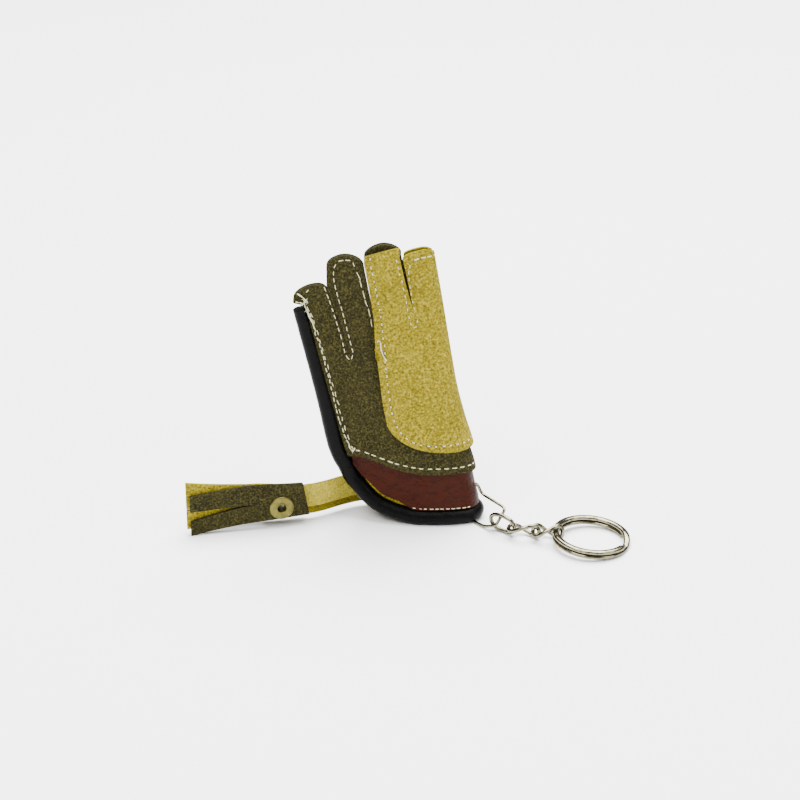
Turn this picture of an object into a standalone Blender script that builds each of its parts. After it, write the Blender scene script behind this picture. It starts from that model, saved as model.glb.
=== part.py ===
"""Miniature falconry glove on a key ring.

The glove stands upright on its cuff with its front towards -Y. Its leather sheets lie on one surface, which
is described in the front view: "across" runs from 0 at the sewn left seam to 1 at the fold on the right, and
"height" is a share of the glove's height. The back is the front mirrored in the XZ plane, and the two are
joined at the fold.
"""

import math

import bmesh
import bpy
import numpy as np
from mathutils import Matrix, Vector

MM = 0.001

# Leather and clearances
LEATHER = 1.0 * MM
GAP = 0.3 * MM
SLIT_WIDTH = 0.45 * MM
SLIT_TAPER = 3.5 * MM

# Glove
GLOVE_HEIGHT = 96.0 * MM
GLOVE_SPAN = 60.0 * MM
CUFF_DEPTH = 5.6 * MM
CUFF_SEAM_OPENING = 2.6 * MM
FINGER_BULGE = 1.2 * MM
TIP_SEAM = 1.8 * MM
TIP_LENGTH = 5.0 * MM
PATCH_PLAY = 0.2 * MM
BAND_OVERLAP = 2.0 * MM
BAND_RELIEF = 1.3 * MM
LINING_HEIGHT = 6.0 * MM

# Padded edge piping
PIPING_TOP_RADIUS = 1.9 * MM
PIPING_HEM_RADIUS = 2.6 * MM
PIPING_FLAT = 0.15 * MM

# Tassel and its strap
TASSEL_HEIGHT = 18.5 * MM
TASSEL_HEAD = 16.0 * MM
TASSEL_FRINGE = 22.3 * MM
STRAP_LENGTH = 30.3 * MM
STRAP_WIDTH = 7.9 * MM
STRAP_BASE = 2.4 * MM
STRAP_STEP = 2.8 * MM
EYELET_RADIUS = 3.9 * MM
EYELET_HOLE = 1.35 * MM
EYELET_WALL = 0.45 * MM
EYELET_RIM = 0.7 * MM

# Hardware
TRIANGLE_WIRE = 1.0 * MM
TRIANGLE_SIDE = 11.5 * MM
TRIANGLE_BEND = 1.6 * MM
TRIANGLE_INSET = 1.2 * MM
TRIANGLE_EYE_HEIGHT = 12.7 * MM
LINK_WIRE = 1.35 * MM
LINK_WIDTH = 7.3 * MM
CHAIN_SLACK = 0.6 * MM
FIRST_LINK_SHIFT = (1.44 * MM, -0.24 * MM, 0.0)
FIRST_LINK_PLACE = 0.26
RING_DIAMETER = 25.0 * MM
RING_BAND = 2.1 * MM
RING_TURN = 1.45 * MM
RING_TURN_GAP = 0.12 * MM

# Heights are shares of GLOVE_HEIGHT, seam and fold are shares of GLOVE_SPAN, depth is a share of CUFF_DEPTH,
# and opening goes from 0, sewn flat, to 1, CUFF_SEAM_OPENING.
OUTLINE_COLUMNS = ("height", "seam", "fold", "depth", "opening")
OUTLINE = (
    (0.000, -0.183, 0.507, 1.00, 1.00),
    (0.062, -0.186, 0.498, 1.00, 1.00),
    (0.135, -0.194, 0.472, 1.00, 1.00),
    (0.208, -0.209, 0.448, 1.02, 0.93),
    (0.275, -0.243, 0.415, 1.04, 0.75),
    (0.375, -0.288, 0.367, 0.97, 0.00),
    (0.480, -0.328, 0.326, 0.82, 0.00),
    (0.620, -0.383, 0.288, 0.55, 0.00),
    (0.775, -0.441, 0.248, 0.36, 0.00),
    (1.000, -0.525, 0.187, 0.27, 0.00),
)

# Where the little finger steps out over the piping's end: heights where the step starts and ends, as shares
# of GLOVE_HEIGHT, and its left edge, as a share of GLOVE_SPAN.
NOTCH = (0.775, 0.788)
LITTLE_EDGE = -0.505

# Slits between neighbouring fingers, straight in the front view: places as shares of GLOVE_SPAN, and heights.
SLIT_COLUMNS = ("crotch", "crotch_height", "top", "top_height")
SLITS = (
    (-0.226, 0.612, -0.326, 0.844),
    (-0.084, 0.741, -0.137, 0.930),
    (0.123, 0.766, 0.060, 0.946),
)

# Shoulder heights of each fingertip and how far its crown rises above them, as shares of GLOVE_HEIGHT.
FINGER_COLUMNS = ("name", "left_height", "right_height", "crown")
FINGERS = (
    ("little", 0.801, 0.842, 0.037),
    ("ring", 0.916, 0.920, 0.041),
    ("middle", 0.946, 0.958, 0.034),
    ("index", 0.938, 0.955, 0.020),
)
PATCH_FINGERS = (
    ("middle", 0.952, 0.984, 0.004),
    ("index", 0.953, 0.972, 0.026),
)

# Lower edges of the olive panels and of the patch, and the left edge of the patch.
PANEL_HEM_COLUMNS = ("across", "height")
PANEL_HEM = (
    (0.00, 0.236),
    (0.10, 0.239),
    (0.20, 0.231),
    (0.40, 0.208),
    (0.60, 0.193),
    (0.90, 0.191),
    (1.00, 0.186),
)
PATCH_EDGE_COLUMNS = ("share", "across", "height")
PATCH_EDGE = (
    (0.00, 0.425, 0.365),
    (0.12, 0.450, 0.339),
    (0.25, 0.505, 0.316),
    (0.45, 0.610, 0.292),
    (0.70, 0.780, 0.277),
    (1.00, 1.000, 0.277),
)
PATCH_WAIST = (0.448, 0.590)

# Centre line of the piping along the hem: across the span, and height above its lowest stretch.
HEM_COLUMNS = ("span", "rise")
HEM = (
    (-0.238, 0.169),
    (-0.188, 0.115),
    (-0.133, 0.077),
    (-0.058, 0.041),
    (0.010, 0.024),
    (0.087, 0.010),
    (0.158, 0.002),
    (0.270, 0.000),
)

# Layers of the tassel from front to back. Heights are shares of TASSEL_HEIGHT at the collar's end, at the slit
# and at the strips' ends.
TASSEL_COLUMNS = ("name", "place", "collar", "root", "slit", "upper", "lower", "reach", "colour")
TASSEL_LAYERS = (
    ("tassel_front", 0, (0.14, 0.75), (0.13, 0.84), 0.49, (0.50, 0.80), (0.00, 0.30), 1.00, "olive"),
    ("tassel_fringe", 1, (0.22, 0.70), (0.20, 0.83), 0.52, (0.56, 1.00), (0.15, 0.46), 1.05, "tan"),
    ("tassel_back", 4, (0.16, 0.74), (0.11, 0.86), 0.47, (0.52, 0.92), (0.00, 0.40), 0.86, "olive"),
)
HEADING_COLUMNS = ("length", "heading")
HEADINGS = (
    (0.00, 12.0),
    (0.10, 15.0),
    (0.17, 25.0),
    (0.28, 34.0),
    (0.40, 27.0),
    (0.60, 25.0),
    (0.72, 17.0),
    (1.00, 14.0),
)

# Corners of the triangular wire ring outside the cuff, from its eye in the band, as shares of TRIANGLE_SIDE.
TRIANGLE_COLUMNS = ("name", "right", "back", "up")
TRIANGLE = (
    ("edge", 0.23, -0.05, -0.34),
    ("upper", 0.89, -0.72, -0.47),
    ("lower", 0.60, -1.07, -0.84),
)

# Chain links: outer length, roll of the loop at its left and right end from lying flat, heading in plan,
# height of the centre above the floor in wires, and how square the ends are bent (1 is a plain oval).
LINK_COLUMNS = ("name", "length", "left_roll", "right_roll", "heading", "lift", "bend")
LINKS = (
    ("chain_link_1", 10.5 * MM, 100.0, 100.0, -38.0, 2.67, 0.85),
    ("chain_link_2", 11.3 * MM, 4.0, -70.0, -16.0, 2.36, 0.85),
    ("chain_link_3", 10.8 * MM, 30.0, -90.0, -8.0, 2.48, 0.70),
)

# Colours as red, green and blue in linear light, roughness and metallic
FINISHES = {
    "olive": ((0.100, 0.080, 0.024), 0.95, 0.0),
    "tan": ((0.520, 0.430, 0.120), 0.90, 0.0),
    "oxblood": ((0.110, 0.028, 0.016), 0.50, 0.0),
    "black": ((0.012, 0.013, 0.012), 0.45, 0.0),
    "nickel": ((0.560, 0.540, 0.470), 0.25, 1.0),
    "brass": ((0.270, 0.240, 0.075), 0.40, 1.0),
}

# Layers of the cuff, as offsets of a sheet's middle from the middle of the olive leather
LAYER = LEATHER + GAP
PATCH_OFFSET = LAYER + PATCH_PLAY
BAND_OFFSET = -LAYER
LINING_OFFSET = -2 * LAYER
HEM_OFFSET = -1.5 * LAYER
SEAM_HALF = (LEATHER + GAP) / 2
HEM_HEIGHT = PIPING_HEM_RADIUS - PIPING_FLAT

# Shape of the palm: where it is deepest across, where the fold begins, and how round it is towards the fold
CREST = 0.60
FOLD_START = 0.86
PALM_ROUNDNESS = 2.2

# Fingers: heights over which they come up from the palm, seam allowance, and how round their tips are
LOBE_START = 0.42
LOBE_END = 0.74
ALLOWANCE = 0.14
CROWN_ROUNDNESS = 1.5

# Places across a finger, across the index finger with its fold, and along the hem
FINGER_SHARES = np.array((0.0, 0.25, 0.5, 0.75, 1.0))
FOLD_SHARES = np.array((0.0, 0.25, 0.5, 0.72, 0.88, 0.97, 1.0))
HEM_SHARES = np.array((0.0, 0.07, 0.15, 0.24, 0.34, 0.45, 0.56, 0.67, 0.77, 0.85, 0.91, 0.955, 0.985, 1.0))

# Rows of faces down each block of leather
FINGER_ROWS = (2, 4)
LITTLE_ROWS = (2, 4)
PALM_ROWS = 9
PATCH_ROWS = (3, 6)
BAND_ROWS = 4
LINING_ROWS = 2

# Straight runs along the rolls, wires and strips, and sides of their sections
SEAM_COUNT = 16
HEM_COUNT = 26
STRAP_COUNT = 10
HEAD_COUNT = 4
STRIP_COUNT = 8
LINK_COUNT = 24
RING_COUNT = 96
BEND_COUNT = 5
WIRE_SIDES = 6
ROLL_SIDES = 10
RING_SIDES = 10
EYELET_SIDES = 24

# The split ring's turns, as angles of its two ends and of the step between the turns
RING_ENDS = (24.0, 696.0)
RING_STEP = (336.0, 48.0)

# The eyelet: place along the collar, height as a share of TASSEL_HEIGHT, layers in front of its middle
EYELET_PLACE = 0.52
EYELET_HEIGHT = 0.39
MIDDLE_LAYER = 2

SLOPE_STEP = 0.02 * MM
WELD = 0.01 * MM
EDGE = 1e-9


def smooth(x, xs, ys):
    """Monotone cubic through the points (xs, ys), held level beyond the ends."""
    xs, ys = np.asarray(xs, float), np.asarray(ys, float)
    run = np.diff(xs)
    rise = np.diff(ys) / run
    product = rise[:-1] * rise[1:]
    inner = np.where(product > 0, 2 * product / np.where(product > 0, rise[:-1] + rise[1:], 1), 0)
    slope = np.concatenate([rise[:1], inner, rise[-1:]])
    x = np.clip(x, xs[0], xs[-1])
    i = np.clip(np.searchsorted(xs, x) - 1, 0, len(run) - 1)
    t = (x - xs[i]) / run[i]
    ends = ys[i] * (1 + 2 * t) * (1 - t) ** 2 + ys[i + 1] * t * t * (3 - 2 * t)
    return ends + run[i] * t * (1 - t) * (slope[i] * (1 - t) - slope[i + 1] * t)


def column(table, columns, name):
    return [row[columns.index(name)] for row in table]


def named(columns, row):
    return dict(zip(columns, row))


def ease(share):
    """Runs from 0 to 1, level at both ends."""
    share = np.clip(share, 0, 1)
    return share * share * (3 - 2 * share)


def outline(z, name):
    """One column of the outline table at the heights z."""
    heights = column(OUTLINE, OUTLINE_COLUMNS, "height")
    return smooth(np.asarray(z) / GLOVE_HEIGHT, heights, column(OUTLINE, OUTLINE_COLUMNS, name))


def seam_x(z):
    return GLOVE_SPAN * outline(z, "seam")


def fold_x(z):
    return GLOVE_SPAN * outline(z, "fold")


def to_plane(across, z):
    """X of the places with the given share across, at the heights z."""
    left = seam_x(z)
    return left + across * (fold_x(z) - left)


def to_across(x, z):
    left = seam_x(z)
    return (x - left) / (fold_x(z) - left)


def slit_across(slit, z):
    """Share across of a slit at the heights z: straight, also below its crotch, and upright above its top."""
    crotch, low, top, high = slit
    reach = np.clip((z / GLOVE_HEIGHT - low) / (high - low), -2, 1)
    return to_across(GLOVE_SPAN * (crotch + (top - crotch) * reach), z)


def crown(row, shares):
    """Heights along a fingertip: a line between its shoulders with a round crown on it."""
    tip = named(FINGER_COLUMNS, row)
    slope = tip["right_height"] - tip["left_height"]
    rise = tip["crown"] * (1 - np.abs(2 * shares - 1) ** CROWN_ROUNDNESS) ** (1 / CROWN_ROUNDNESS)
    return tip["left_height"] + shares * slope + rise


def lobes(across, z):
    """Bulge of the fingers: 0 at each sewn edge and tip, 1 along each finger's middle, round at the fold."""
    edges = [np.zeros_like(across)] + [slit_across(slit, z) for slit in SLITS] + [np.ones_like(across)]
    bulge = np.zeros_like(across)
    for row, left, right in zip(FINGERS, edges, edges[1:]):
        share = np.clip((across - left) / (right - left), 0, 1)
        middle = np.clip((share - ALLOWANCE) / (1 - 2 * ALLOWANCE), 0, 1)
        swell = np.sin(math.pi * middle)
        if row is FINGERS[-1]:
            swell = np.where(share > 0.5, np.sqrt(np.clip(1 - (2 * share - 1) ** 2, 0, 1)), swell)
        below = np.clip((GLOVE_HEIGHT * crown(row, share) - z - TIP_SEAM) / TIP_LENGTH, 0, 1)
        bulge = np.maximum(bulge, swell * np.sqrt(1 - (1 - below) ** 2))
    return bulge


def depth(x, z):
    """Distance of the olive leather's middle surface from the XZ plane."""
    across = np.clip(to_across(x, z), 0, 1)
    left = 1 - (1 - np.minimum(across / CREST, 1)) ** 2
    right = (1 - np.clip((across - CREST) / (1 - CREST), 0, 1) ** PALM_ROUNDNESS) ** (1 / PALM_ROUNDNESS)
    blend = ease((z / GLOVE_HEIGHT - LOBE_START) / (LOBE_END - LOBE_START))
    closing = np.sqrt(1 - np.clip((across - FOLD_START) / (1 - FOLD_START), 0, 1) ** 2)
    half = SEAM_HALF + (CUFF_SEAM_OPENING - SEAM_HALF) * outline(z, "opening")
    palm = CUFF_DEPTH * outline(z, "depth") * np.where(across < CREST, left, right)
    return half * closing + (1 - blend) * palm + blend * FINGER_BULGE * lobes(across, z)


def front_points(across, z, offset):
    """Points of the front at the given places, moved out level until they are offset away from the surface."""
    x = to_plane(across, z)
    fold = across > 1 - EDGE
    slope_x = (depth(x + SLOPE_STEP, z) - depth(x - SLOPE_STEP, z)) / (2 * SLOPE_STEP)
    slope_z = (depth(x, z + SLOPE_STEP) - depth(x, z - SLOPE_STEP)) / (2 * SLOPE_STEP)
    lean = (fold_x(z + SLOPE_STEP) - fold_x(z - SLOPE_STEP)) / (2 * SLOPE_STEP)
    normal = np.stack([-slope_x, -np.ones_like(x), -slope_z], -1)
    normal[fold] = np.stack([np.ones_like(x), 0 * x, -lean], -1)[fold]
    normal /= np.linalg.norm(normal, axis=-1, keepdims=True)
    level = normal * (1, 1, 0)
    level /= (level ** 2).sum(axis=-1, keepdims=True)
    middle = np.where(fold, 0, -depth(x, z))
    return np.stack([x, middle, z], -1) + offset * level


def between(levels, rows):
    """Grid of places whose columns run straight from each level to the next."""
    levels = np.asarray(levels)
    share = np.concatenate([[k + r / n for r in range(n)] for k, n in enumerate(rows)] + [[len(rows)]])
    lower = np.minimum(share.astype(int), len(levels) - 2)
    t = (share - lower).reshape((-1,) + (1,) * (levels.ndim - 1))
    return levels[lower] * (1 - t) + levels[lower + 1] * t


def collection(name):
    found = bpy.data.collections.get(name)
    if found is None:
        found = bpy.data.collections.new(name)
        bpy.context.scene.collection.children.link(found)
    return found


def finish(obj, colour):
    """Gives a part its own material and puts it in the object's collection."""
    rgb, roughness, metallic = FINISHES[colour]
    material = bpy.data.materials.new(obj.name)
    material.use_nodes = True
    shader = material.node_tree.nodes["Principled BSDF"]
    shader.inputs["Base Color"].default_value = (*rgb, 1)
    shader.inputs["Roughness"].default_value = roughness
    shader.inputs["Metallic"].default_value = metallic
    obj.data.materials.clear()
    obj.data.materials.append(material)
    collection("falconry_glove").objects.link(obj)
    return obj


def sheet(name, grids, colour):
    """Leather sheet: point grids welded along their shared edges, and thickened with Solidify."""
    shell = bmesh.new()
    for grid in grids:
        verts = [[shell.verts.new(point) for point in row] for row in grid]
        for upper, lower in zip(verts, verts[1:]):
            for a, b, c, d in zip(upper, upper[1:], lower[1:], lower):
                shell.faces.new((a, b, c, d))
    bmesh.ops.remove_doubles(shell, verts=shell.verts, dist=WELD)
    bmesh.ops.recalc_face_normals(shell, faces=shell.faces)
    mesh = bpy.data.meshes.new(name)
    shell.to_mesh(mesh)
    shell.free()
    mesh.shade_smooth()
    part = bpy.data.objects.new(name, mesh)
    wall = part.modifiers.new("Leather", "SOLIDIFY")
    wall.thickness = LEATHER
    wall.offset = 0
    wall.use_quality_normals = True
    return finish(part, colour)


def both_sides(blocks, offset):
    """Front grids of the given (across, height) blocks, and their mirror images for the back."""
    front = [front_points(block[..., 0], GLOVE_HEIGHT * block[..., 1], offset) for block in blocks]
    return front + [grid * (1, -1, 1) for grid in front]


def left_edge(number, z):
    """Share across of a finger's left edge. The little finger's steps out over the piping's end."""
    if number:
        return slit_edge(number - 1, z, 1)
    step = np.clip((z / GLOVE_HEIGHT - NOTCH[0]) / (NOTCH[1] - NOTCH[0]), 0, 1)
    return step * to_across(GLOVE_SPAN * LITTLE_EDGE, z)


def right_edge(number, z):
    return slit_edge(number, z, -1) if number < len(SLITS) else np.ones_like(z)


def slit_edge(number, z, side):
    """Share across of a slit's left (-1) or right (1) edge. The slit closes towards its crotch."""
    above = z - GLOVE_HEIGHT * SLITS[number][SLIT_COLUMNS.index("crotch_height")]
    half = SLIT_WIDTH / 2 * np.clip(above / SLIT_TAPER, 0, 1)
    return slit_across(SLITS[number], z) + side * half / (fold_x(z) - seam_x(z))


def finger_shares(number):
    return FOLD_SHARES if number == len(SLITS) else FINGER_SHARES


def finger_places(number, heights):
    """Places of a finger at the given heights, spread between its two edges."""
    z = GLOVE_HEIGHT * heights
    left, right = left_edge(number, z), right_edge(number, z)
    return np.stack([left + finger_shares(number) * (right - left), heights], -1)


def base_heights(number):
    """Heights along a finger's base, from crotch to crotch."""
    heights = column(SLITS, SLIT_COLUMNS, "crotch_height")
    ends = [heights[0]] + heights + [heights[-1]]
    return ends[number] + finger_shares(number) * (ends[number + 1] - ends[number])


def base_level(number):
    return finger_places(number, base_heights(number))


def finger_block(number, row):
    """Rows of places from a fingertip past its seam to the finger's base."""
    tip = crown(row, finger_shares(number))
    seam = tip - (TIP_SEAM + TIP_LENGTH) / GLOVE_HEIGHT
    return finger_places(number, between([tip, seam, base_heights(number)], FINGER_ROWS))


def little_block():
    """The little finger, with a level where it steps out over the piping's end."""
    tip = crown(FINGERS[0], finger_shares(0))
    step = np.full_like(tip, NOTCH[0])
    return finger_places(0, between([tip, step, base_heights(0)], LITTLE_ROWS))


def hem_line(across):
    heights = smooth(across, column(PANEL_HEM, PANEL_HEM_COLUMNS, "across"),
                     column(PANEL_HEM, PANEL_HEM_COLUMNS, "height"))
    return np.stack([across, heights], -1)


def glove_shell():
    """One olive leather sheet, folded at the index finger's side and cut into four fingers, front and back."""
    bases = [base_level(number) for number in range(len(FINGERS))]
    top = np.concatenate([bases[0]] + [base[1:] for base in bases[1:]])
    palm = between([top, hem_line(top[:, 0])], (PALM_ROWS,))
    fingers = [little_block()] + [finger_block(n, FINGERS[n]) for n in range(1, len(FINGERS))]
    return sheet("glove_shell", both_sides(fingers + [palm], 0), "olive")


def finger_patch():
    """Tan patch folded round the index and middle fingers, cut round at its lower left corner."""
    top = np.concatenate([base_level(2), base_level(3)[1:]])
    share = (top[:, 0] - top[0, 0]) / (1 - top[0, 0])
    places = column(PATCH_EDGE, PATCH_EDGE_COLUMNS, "share")
    edge = np.stack([smooth(share, places, column(PATCH_EDGE, PATCH_EDGE_COLUMNS, name))
                     for name in ("across", "height")], -1)
    across, height = PATCH_WAIST
    waist = np.stack([across + share * (1 - across), np.full_like(share, height)], -1)
    palm = between([top, waist, edge], PATCH_ROWS)
    fingers = [finger_block(2 + n, row) for n, row in enumerate(PATCH_FINGERS)]
    return sheet("finger_patch", both_sides(fingers + [palm], PATCH_OFFSET), "tan")


def hem_centre(share):
    """Centre line of the piping in the front view, from its lowest left point to the fold, as (x, z)."""
    spans = column(HEM, HEM_COLUMNS, "span") + [fold_x(HEM_HEIGHT) / GLOVE_SPAN]
    rises = column(HEM, HEM_COLUMNS, "rise") + [0.0]
    steps = np.hypot(np.diff(spans), np.diff(rises))
    places = np.concatenate([[0], np.cumsum(steps)]) / steps.sum()
    x = GLOVE_SPAN * smooth(share, places, spans)
    z = HEM_HEIGHT + GLOVE_HEIGHT * smooth(share, places, rises)
    return np.stack([x, z], -1)


def along_hem(share, distance):
    """Places at a distance above the piping's centre line, measured square to it, as (across, height)."""
    line = hem_centre(share)
    run = hem_centre(np.minimum(share + 0.01, 1)) - hem_centre(np.maximum(share - 0.01, 0))
    run /= np.linalg.norm(run, axis=-1, keepdims=True)
    x = line[:, 0] - run[:, 1] * distance
    z = line[:, 1] + run[:, 0] * distance
    across = np.where(share > 1 - EDGE, 1, np.clip(to_across(x, z), 0, 1 - 2 * EDGE))
    return np.stack([across, z / GLOVE_HEIGHT], -1)


def cuff_band():
    """Smooth leather band inside the olive hem. Its lower left edge stands clear of the piping."""
    relief = BAND_RELIEF * np.clip(HEM_SHARES / 0.12, 0, 1) * np.clip((0.5 - HEM_SHARES) / 0.1, 0, 1)
    lower = along_hem(HEM_SHARES, PIPING_HEM_RADIUS + GAP + relief)
    upper = hem_line(lower[:, 0]) + (0, BAND_OVERLAP / GLOVE_HEIGHT)
    return sheet("cuff_band", both_sides([between([upper, lower], (BAND_ROWS,))], BAND_OFFSET), "oxblood")


def cuff_lining():
    """Tan strip inside the band, which shows as a thin line beside the piping."""
    shares = HEM_SHARES[1:]
    lower = along_hem(shares, PIPING_HEM_RADIUS + GAP)
    upper = along_hem(shares, PIPING_HEM_RADIUS + GAP + LINING_HEIGHT)
    return sheet("cuff_lining", both_sides([between([upper, lower], (LINING_ROWS,))], LINING_OFFSET), "tan")


def hem_path(count):
    """Piping's centre line along the front hem, from the seam's lower end to the fold."""
    share = np.linspace(0, 1, count)
    line = hem_centre(share)
    across = np.where(share > 1 - EDGE, 1, np.clip(to_across(line[:, 0], line[:, 1]), 0, 1))
    points = front_points(across, line[:, 1], HEM_OFFSET)
    points[:, 2] = line[:, 1]
    points[:, 0] = np.where(across > 0, points[:, 0], line[:, 0])
    points[:, 1] *= np.clip(share / 0.12, 0, 1)
    return points


def seam_path(count):
    """Piping's centre line down the left seam, and its radius there."""
    top = GLOVE_HEIGHT * NOTCH[0] - PIPING_TOP_RADIUS / 2 - GAP
    low = HEM_HEIGHT + GLOVE_HEIGHT * HEM[0][1]
    share = np.linspace(0, 1, count)
    z = top + share * (low - top)
    radius = PIPING_TOP_RADIUS + share * (PIPING_HEM_RADIUS - PIPING_TOP_RADIUS)
    x = seam_x(z) - radius - GAP
    settle = np.clip((share - 0.8) / 0.2, 0, 1)
    x += settle * (GLOVE_SPAN * HEM[0][0] - x)
    return np.stack([x, 0 * x, z], -1), radius


def wire(name, points, diameter, sides, closed=False, radii=None):
    """Round wire or roll along the points, as a curve with a bevel."""
    curve = bpy.data.curves.new(name, "CURVE")
    curve.dimensions = "3D"
    curve.bevel_depth = diameter / 2
    curve.bevel_resolution = (sides - 4) // 2
    curve.use_fill_caps = not closed
    spline = curve.splines.new("POLY")
    spline.points.add(len(points) - 1)
    spline.use_cyclic_u = closed
    for k, point in enumerate(points):
        spline.points[k].co = (*point, 1)
        spline.points[k].radius = 1 if radii is None else radii[k] / (diameter / 2)
    return bpy.data.objects.new(name, curve)


def to_mesh(obj):
    """Turns a curve object into a mesh object with welded caps."""
    bpy.context.scene.collection.objects.link(obj)
    evaluated = obj.evaluated_get(bpy.context.evaluated_depsgraph_get())
    mesh = bpy.data.meshes.new_from_object(evaluated)
    welded = bmesh.new()
    welded.from_mesh(mesh)
    bmesh.ops.remove_doubles(welded, verts=welded.verts, dist=WELD)
    bmesh.ops.recalc_face_normals(welded, faces=welded.faces)
    welded.to_mesh(mesh)
    welded.free()
    name = obj.name
    bpy.data.objects.remove(obj)
    mesh.shade_smooth()
    mesh.set_sharp_from_angle(angle=math.radians(50))
    return bpy.data.objects.new(name, mesh)


def cutter(obj):
    obj.hide_render = True
    obj.display_type = "WIRE"
    collection("cutters").objects.link(obj)
    return obj


def combine(part, other, operation):
    """Adds a Boolean modifier with a mesh operand."""
    cut = part.modifiers.new(other.name, "BOOLEAN")
    cut.operation = operation
    cut.solver = "EXACT"
    cut.object = cutter(other)
    return part


def box(name, low, high):
    bpy.ops.mesh.primitive_cube_add(size=1)
    obj = bpy.context.object
    low, high = Vector(low), Vector(high)
    obj.data.transform(Matrix.Diagonal((*(high - low), 1)))
    obj.name = name
    obj.location = (low + high) / 2
    for parent in list(obj.users_collection):
        parent.objects.unlink(obj)
    return obj


def rounded(points, radius):
    """Closed path through straight runs with a round bend at each corner."""
    points = [Vector(p) for p in points]
    path = []
    for before, corner, after in zip(points[-1:] + points[:-1], points, points[1:] + points[:1]):
        back, ahead = before - corner, after - corner
        reach = min(radius, back.length * 0.45, ahead.length * 0.45)
        start, end = corner + back.normalized() * reach, corner + ahead.normalized() * reach
        for t in np.linspace(0, 1, BEND_COUNT):
            path.append(start * (1 - t) ** 2 + corner * 2 * t * (1 - t) + end * t ** 2)
    return path


def triangle_eye():
    """Middle of the hole that the wire ring passes through, on the fold of the band."""
    return Vector((fold_x(TRIANGLE_EYE_HEIGHT) + BAND_OFFSET, -TRIANGLE_INSET, TRIANGLE_EYE_HEIGHT))


def triangle_corners():
    """Corners of the wire ring: outside the fold, at the chain, on the floor, under the roll, in the cuff."""
    eye = triangle_eye()
    outer = []
    for row in TRIANGLE:
        corner = named(TRIANGLE_COLUMNS, row)
        outer.append(eye + TRIANGLE_SIDE * Vector((corner["right"], corner["back"], corner["up"])))
    fold = fold_x(HEM_HEIGHT)
    inside = fold + HEM_OFFSET - PIPING_HEM_RADIUS - TRIANGLE_WIRE - 2 * GAP
    floor = TRIANGLE_WIRE / 2 + GAP / 3
    half = CUFF_DEPTH + CUFF_SEAM_OPENING
    return (
        eye + Vector((LAYER, 0, -TRIANGLE_WIRE / 2)),
        *outer,
        Vector((fold + GAP, -half - TRIANGLE_WIRE, floor)),
        Vector((inside, -2 * TRIANGLE_INSET, floor)),
        Vector((inside, -TRIANGLE_INSET, eye.z)),
    )


def bent_wire(name, diameter):
    return to_mesh(wire(name, rounded(triangle_corners(), TRIANGLE_BEND), diameter, WIRE_SIDES, closed=True))


def wire_way(name):
    """Cutter that follows the wire ring with a gap all round."""
    return bent_wire(name, TRIANGLE_WIRE + 2 * GAP)


def triangle_ring():
    return finish(bent_wire("triangle_ring", TRIANGLE_WIRE), "nickel")


def edge_piping():
    """Padded black roll: down the left seam, along the front hem, round the fold, back along the rear hem."""
    seam, seam_radius = seam_path(SEAM_COUNT)
    front = hem_path(HEM_COUNT)
    back = front[::-1] * (1, -1, 1)
    turn = len(back) // 2
    first = np.concatenate([seam[:-1], front, back[1:turn]])
    radii = np.concatenate([seam_radius[:-1], np.full(len(first) - len(seam) + 1, PIPING_HEM_RADIUS)])
    piping = to_mesh(wire("edge_piping", first, 2 * PIPING_HEM_RADIUS, ROLL_SIDES, radii=radii))
    rear_roll = wire("rear_hem_roll", back[turn - 2:], 2 * PIPING_HEM_RADIUS - GAP, ROLL_SIDES)
    combine(piping, to_mesh(rear_roll), "UNION")
    combine(piping, wire_way("wire_groove"), "DIFFERENCE")
    reach = GLOVE_SPAN
    floor = box("floor_cut", (-reach, -reach, -reach), (reach, reach, 0))
    combine(piping, floor, "DIFFERENCE")
    return finish(piping, "black")


def pierced_band():
    """The band with the hole that the wire ring passes through."""
    return combine(cuff_band(), wire_way("band_hole"), "DIFFERENCE")


def tassel_route(length):
    """Plan view of the tassel's middle line: its points and left-hand normals at the given lengths."""
    total = STRAP_LENGTH + TASSEL_HEAD + TASSEL_FRINGE * max(column(TASSEL_LAYERS, TASSEL_COLUMNS, "reach"))
    marks = np.linspace(0, total, 200)
    turn = smooth(marks / total, column(HEADINGS, HEADING_COLUMNS, "length"),
                  column(HEADINGS, HEADING_COLUMNS, "heading"))
    turn = np.radians(turn)
    step = marks[1]
    start = tassel_start()
    x = start[0] - np.concatenate([[0], np.cumsum(np.cos(turn[:-1]) * step)])
    y = start[1] - np.concatenate([[0], np.cumsum(np.sin(turn[:-1]) * step)])
    angle = np.interp(length, marks, turn)
    points = np.stack([np.interp(length, marks, x), np.interp(length, marks, y)], -1)
    return points, np.stack([np.sin(angle), -np.cos(angle)], -1)


def tassel_start():
    """Right end of the strap, which lies flat against the rear hem's piping."""
    path = hem_path(3 * HEM_COUNT) * (1, -1, 1)
    place = np.argmin(np.abs(path[:, 0]))
    return path[place, 0], path[place, 1] + PIPING_HEM_RADIUS + GAP + LEATHER / 2


def upright(length, offset, low, high, shares):
    """Grid of a strip that stands on edge: along the route, moved to the front by offset."""
    points, normals = tassel_route(length)
    plan = points + normals * np.asarray(offset)[..., None]
    z = low[:, None] + (high - low)[:, None] * shares
    spread = np.broadcast_to(plan[:, None, :], (len(length), len(shares), 2))
    return np.concatenate([spread, z[..., None]], -1)


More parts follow.
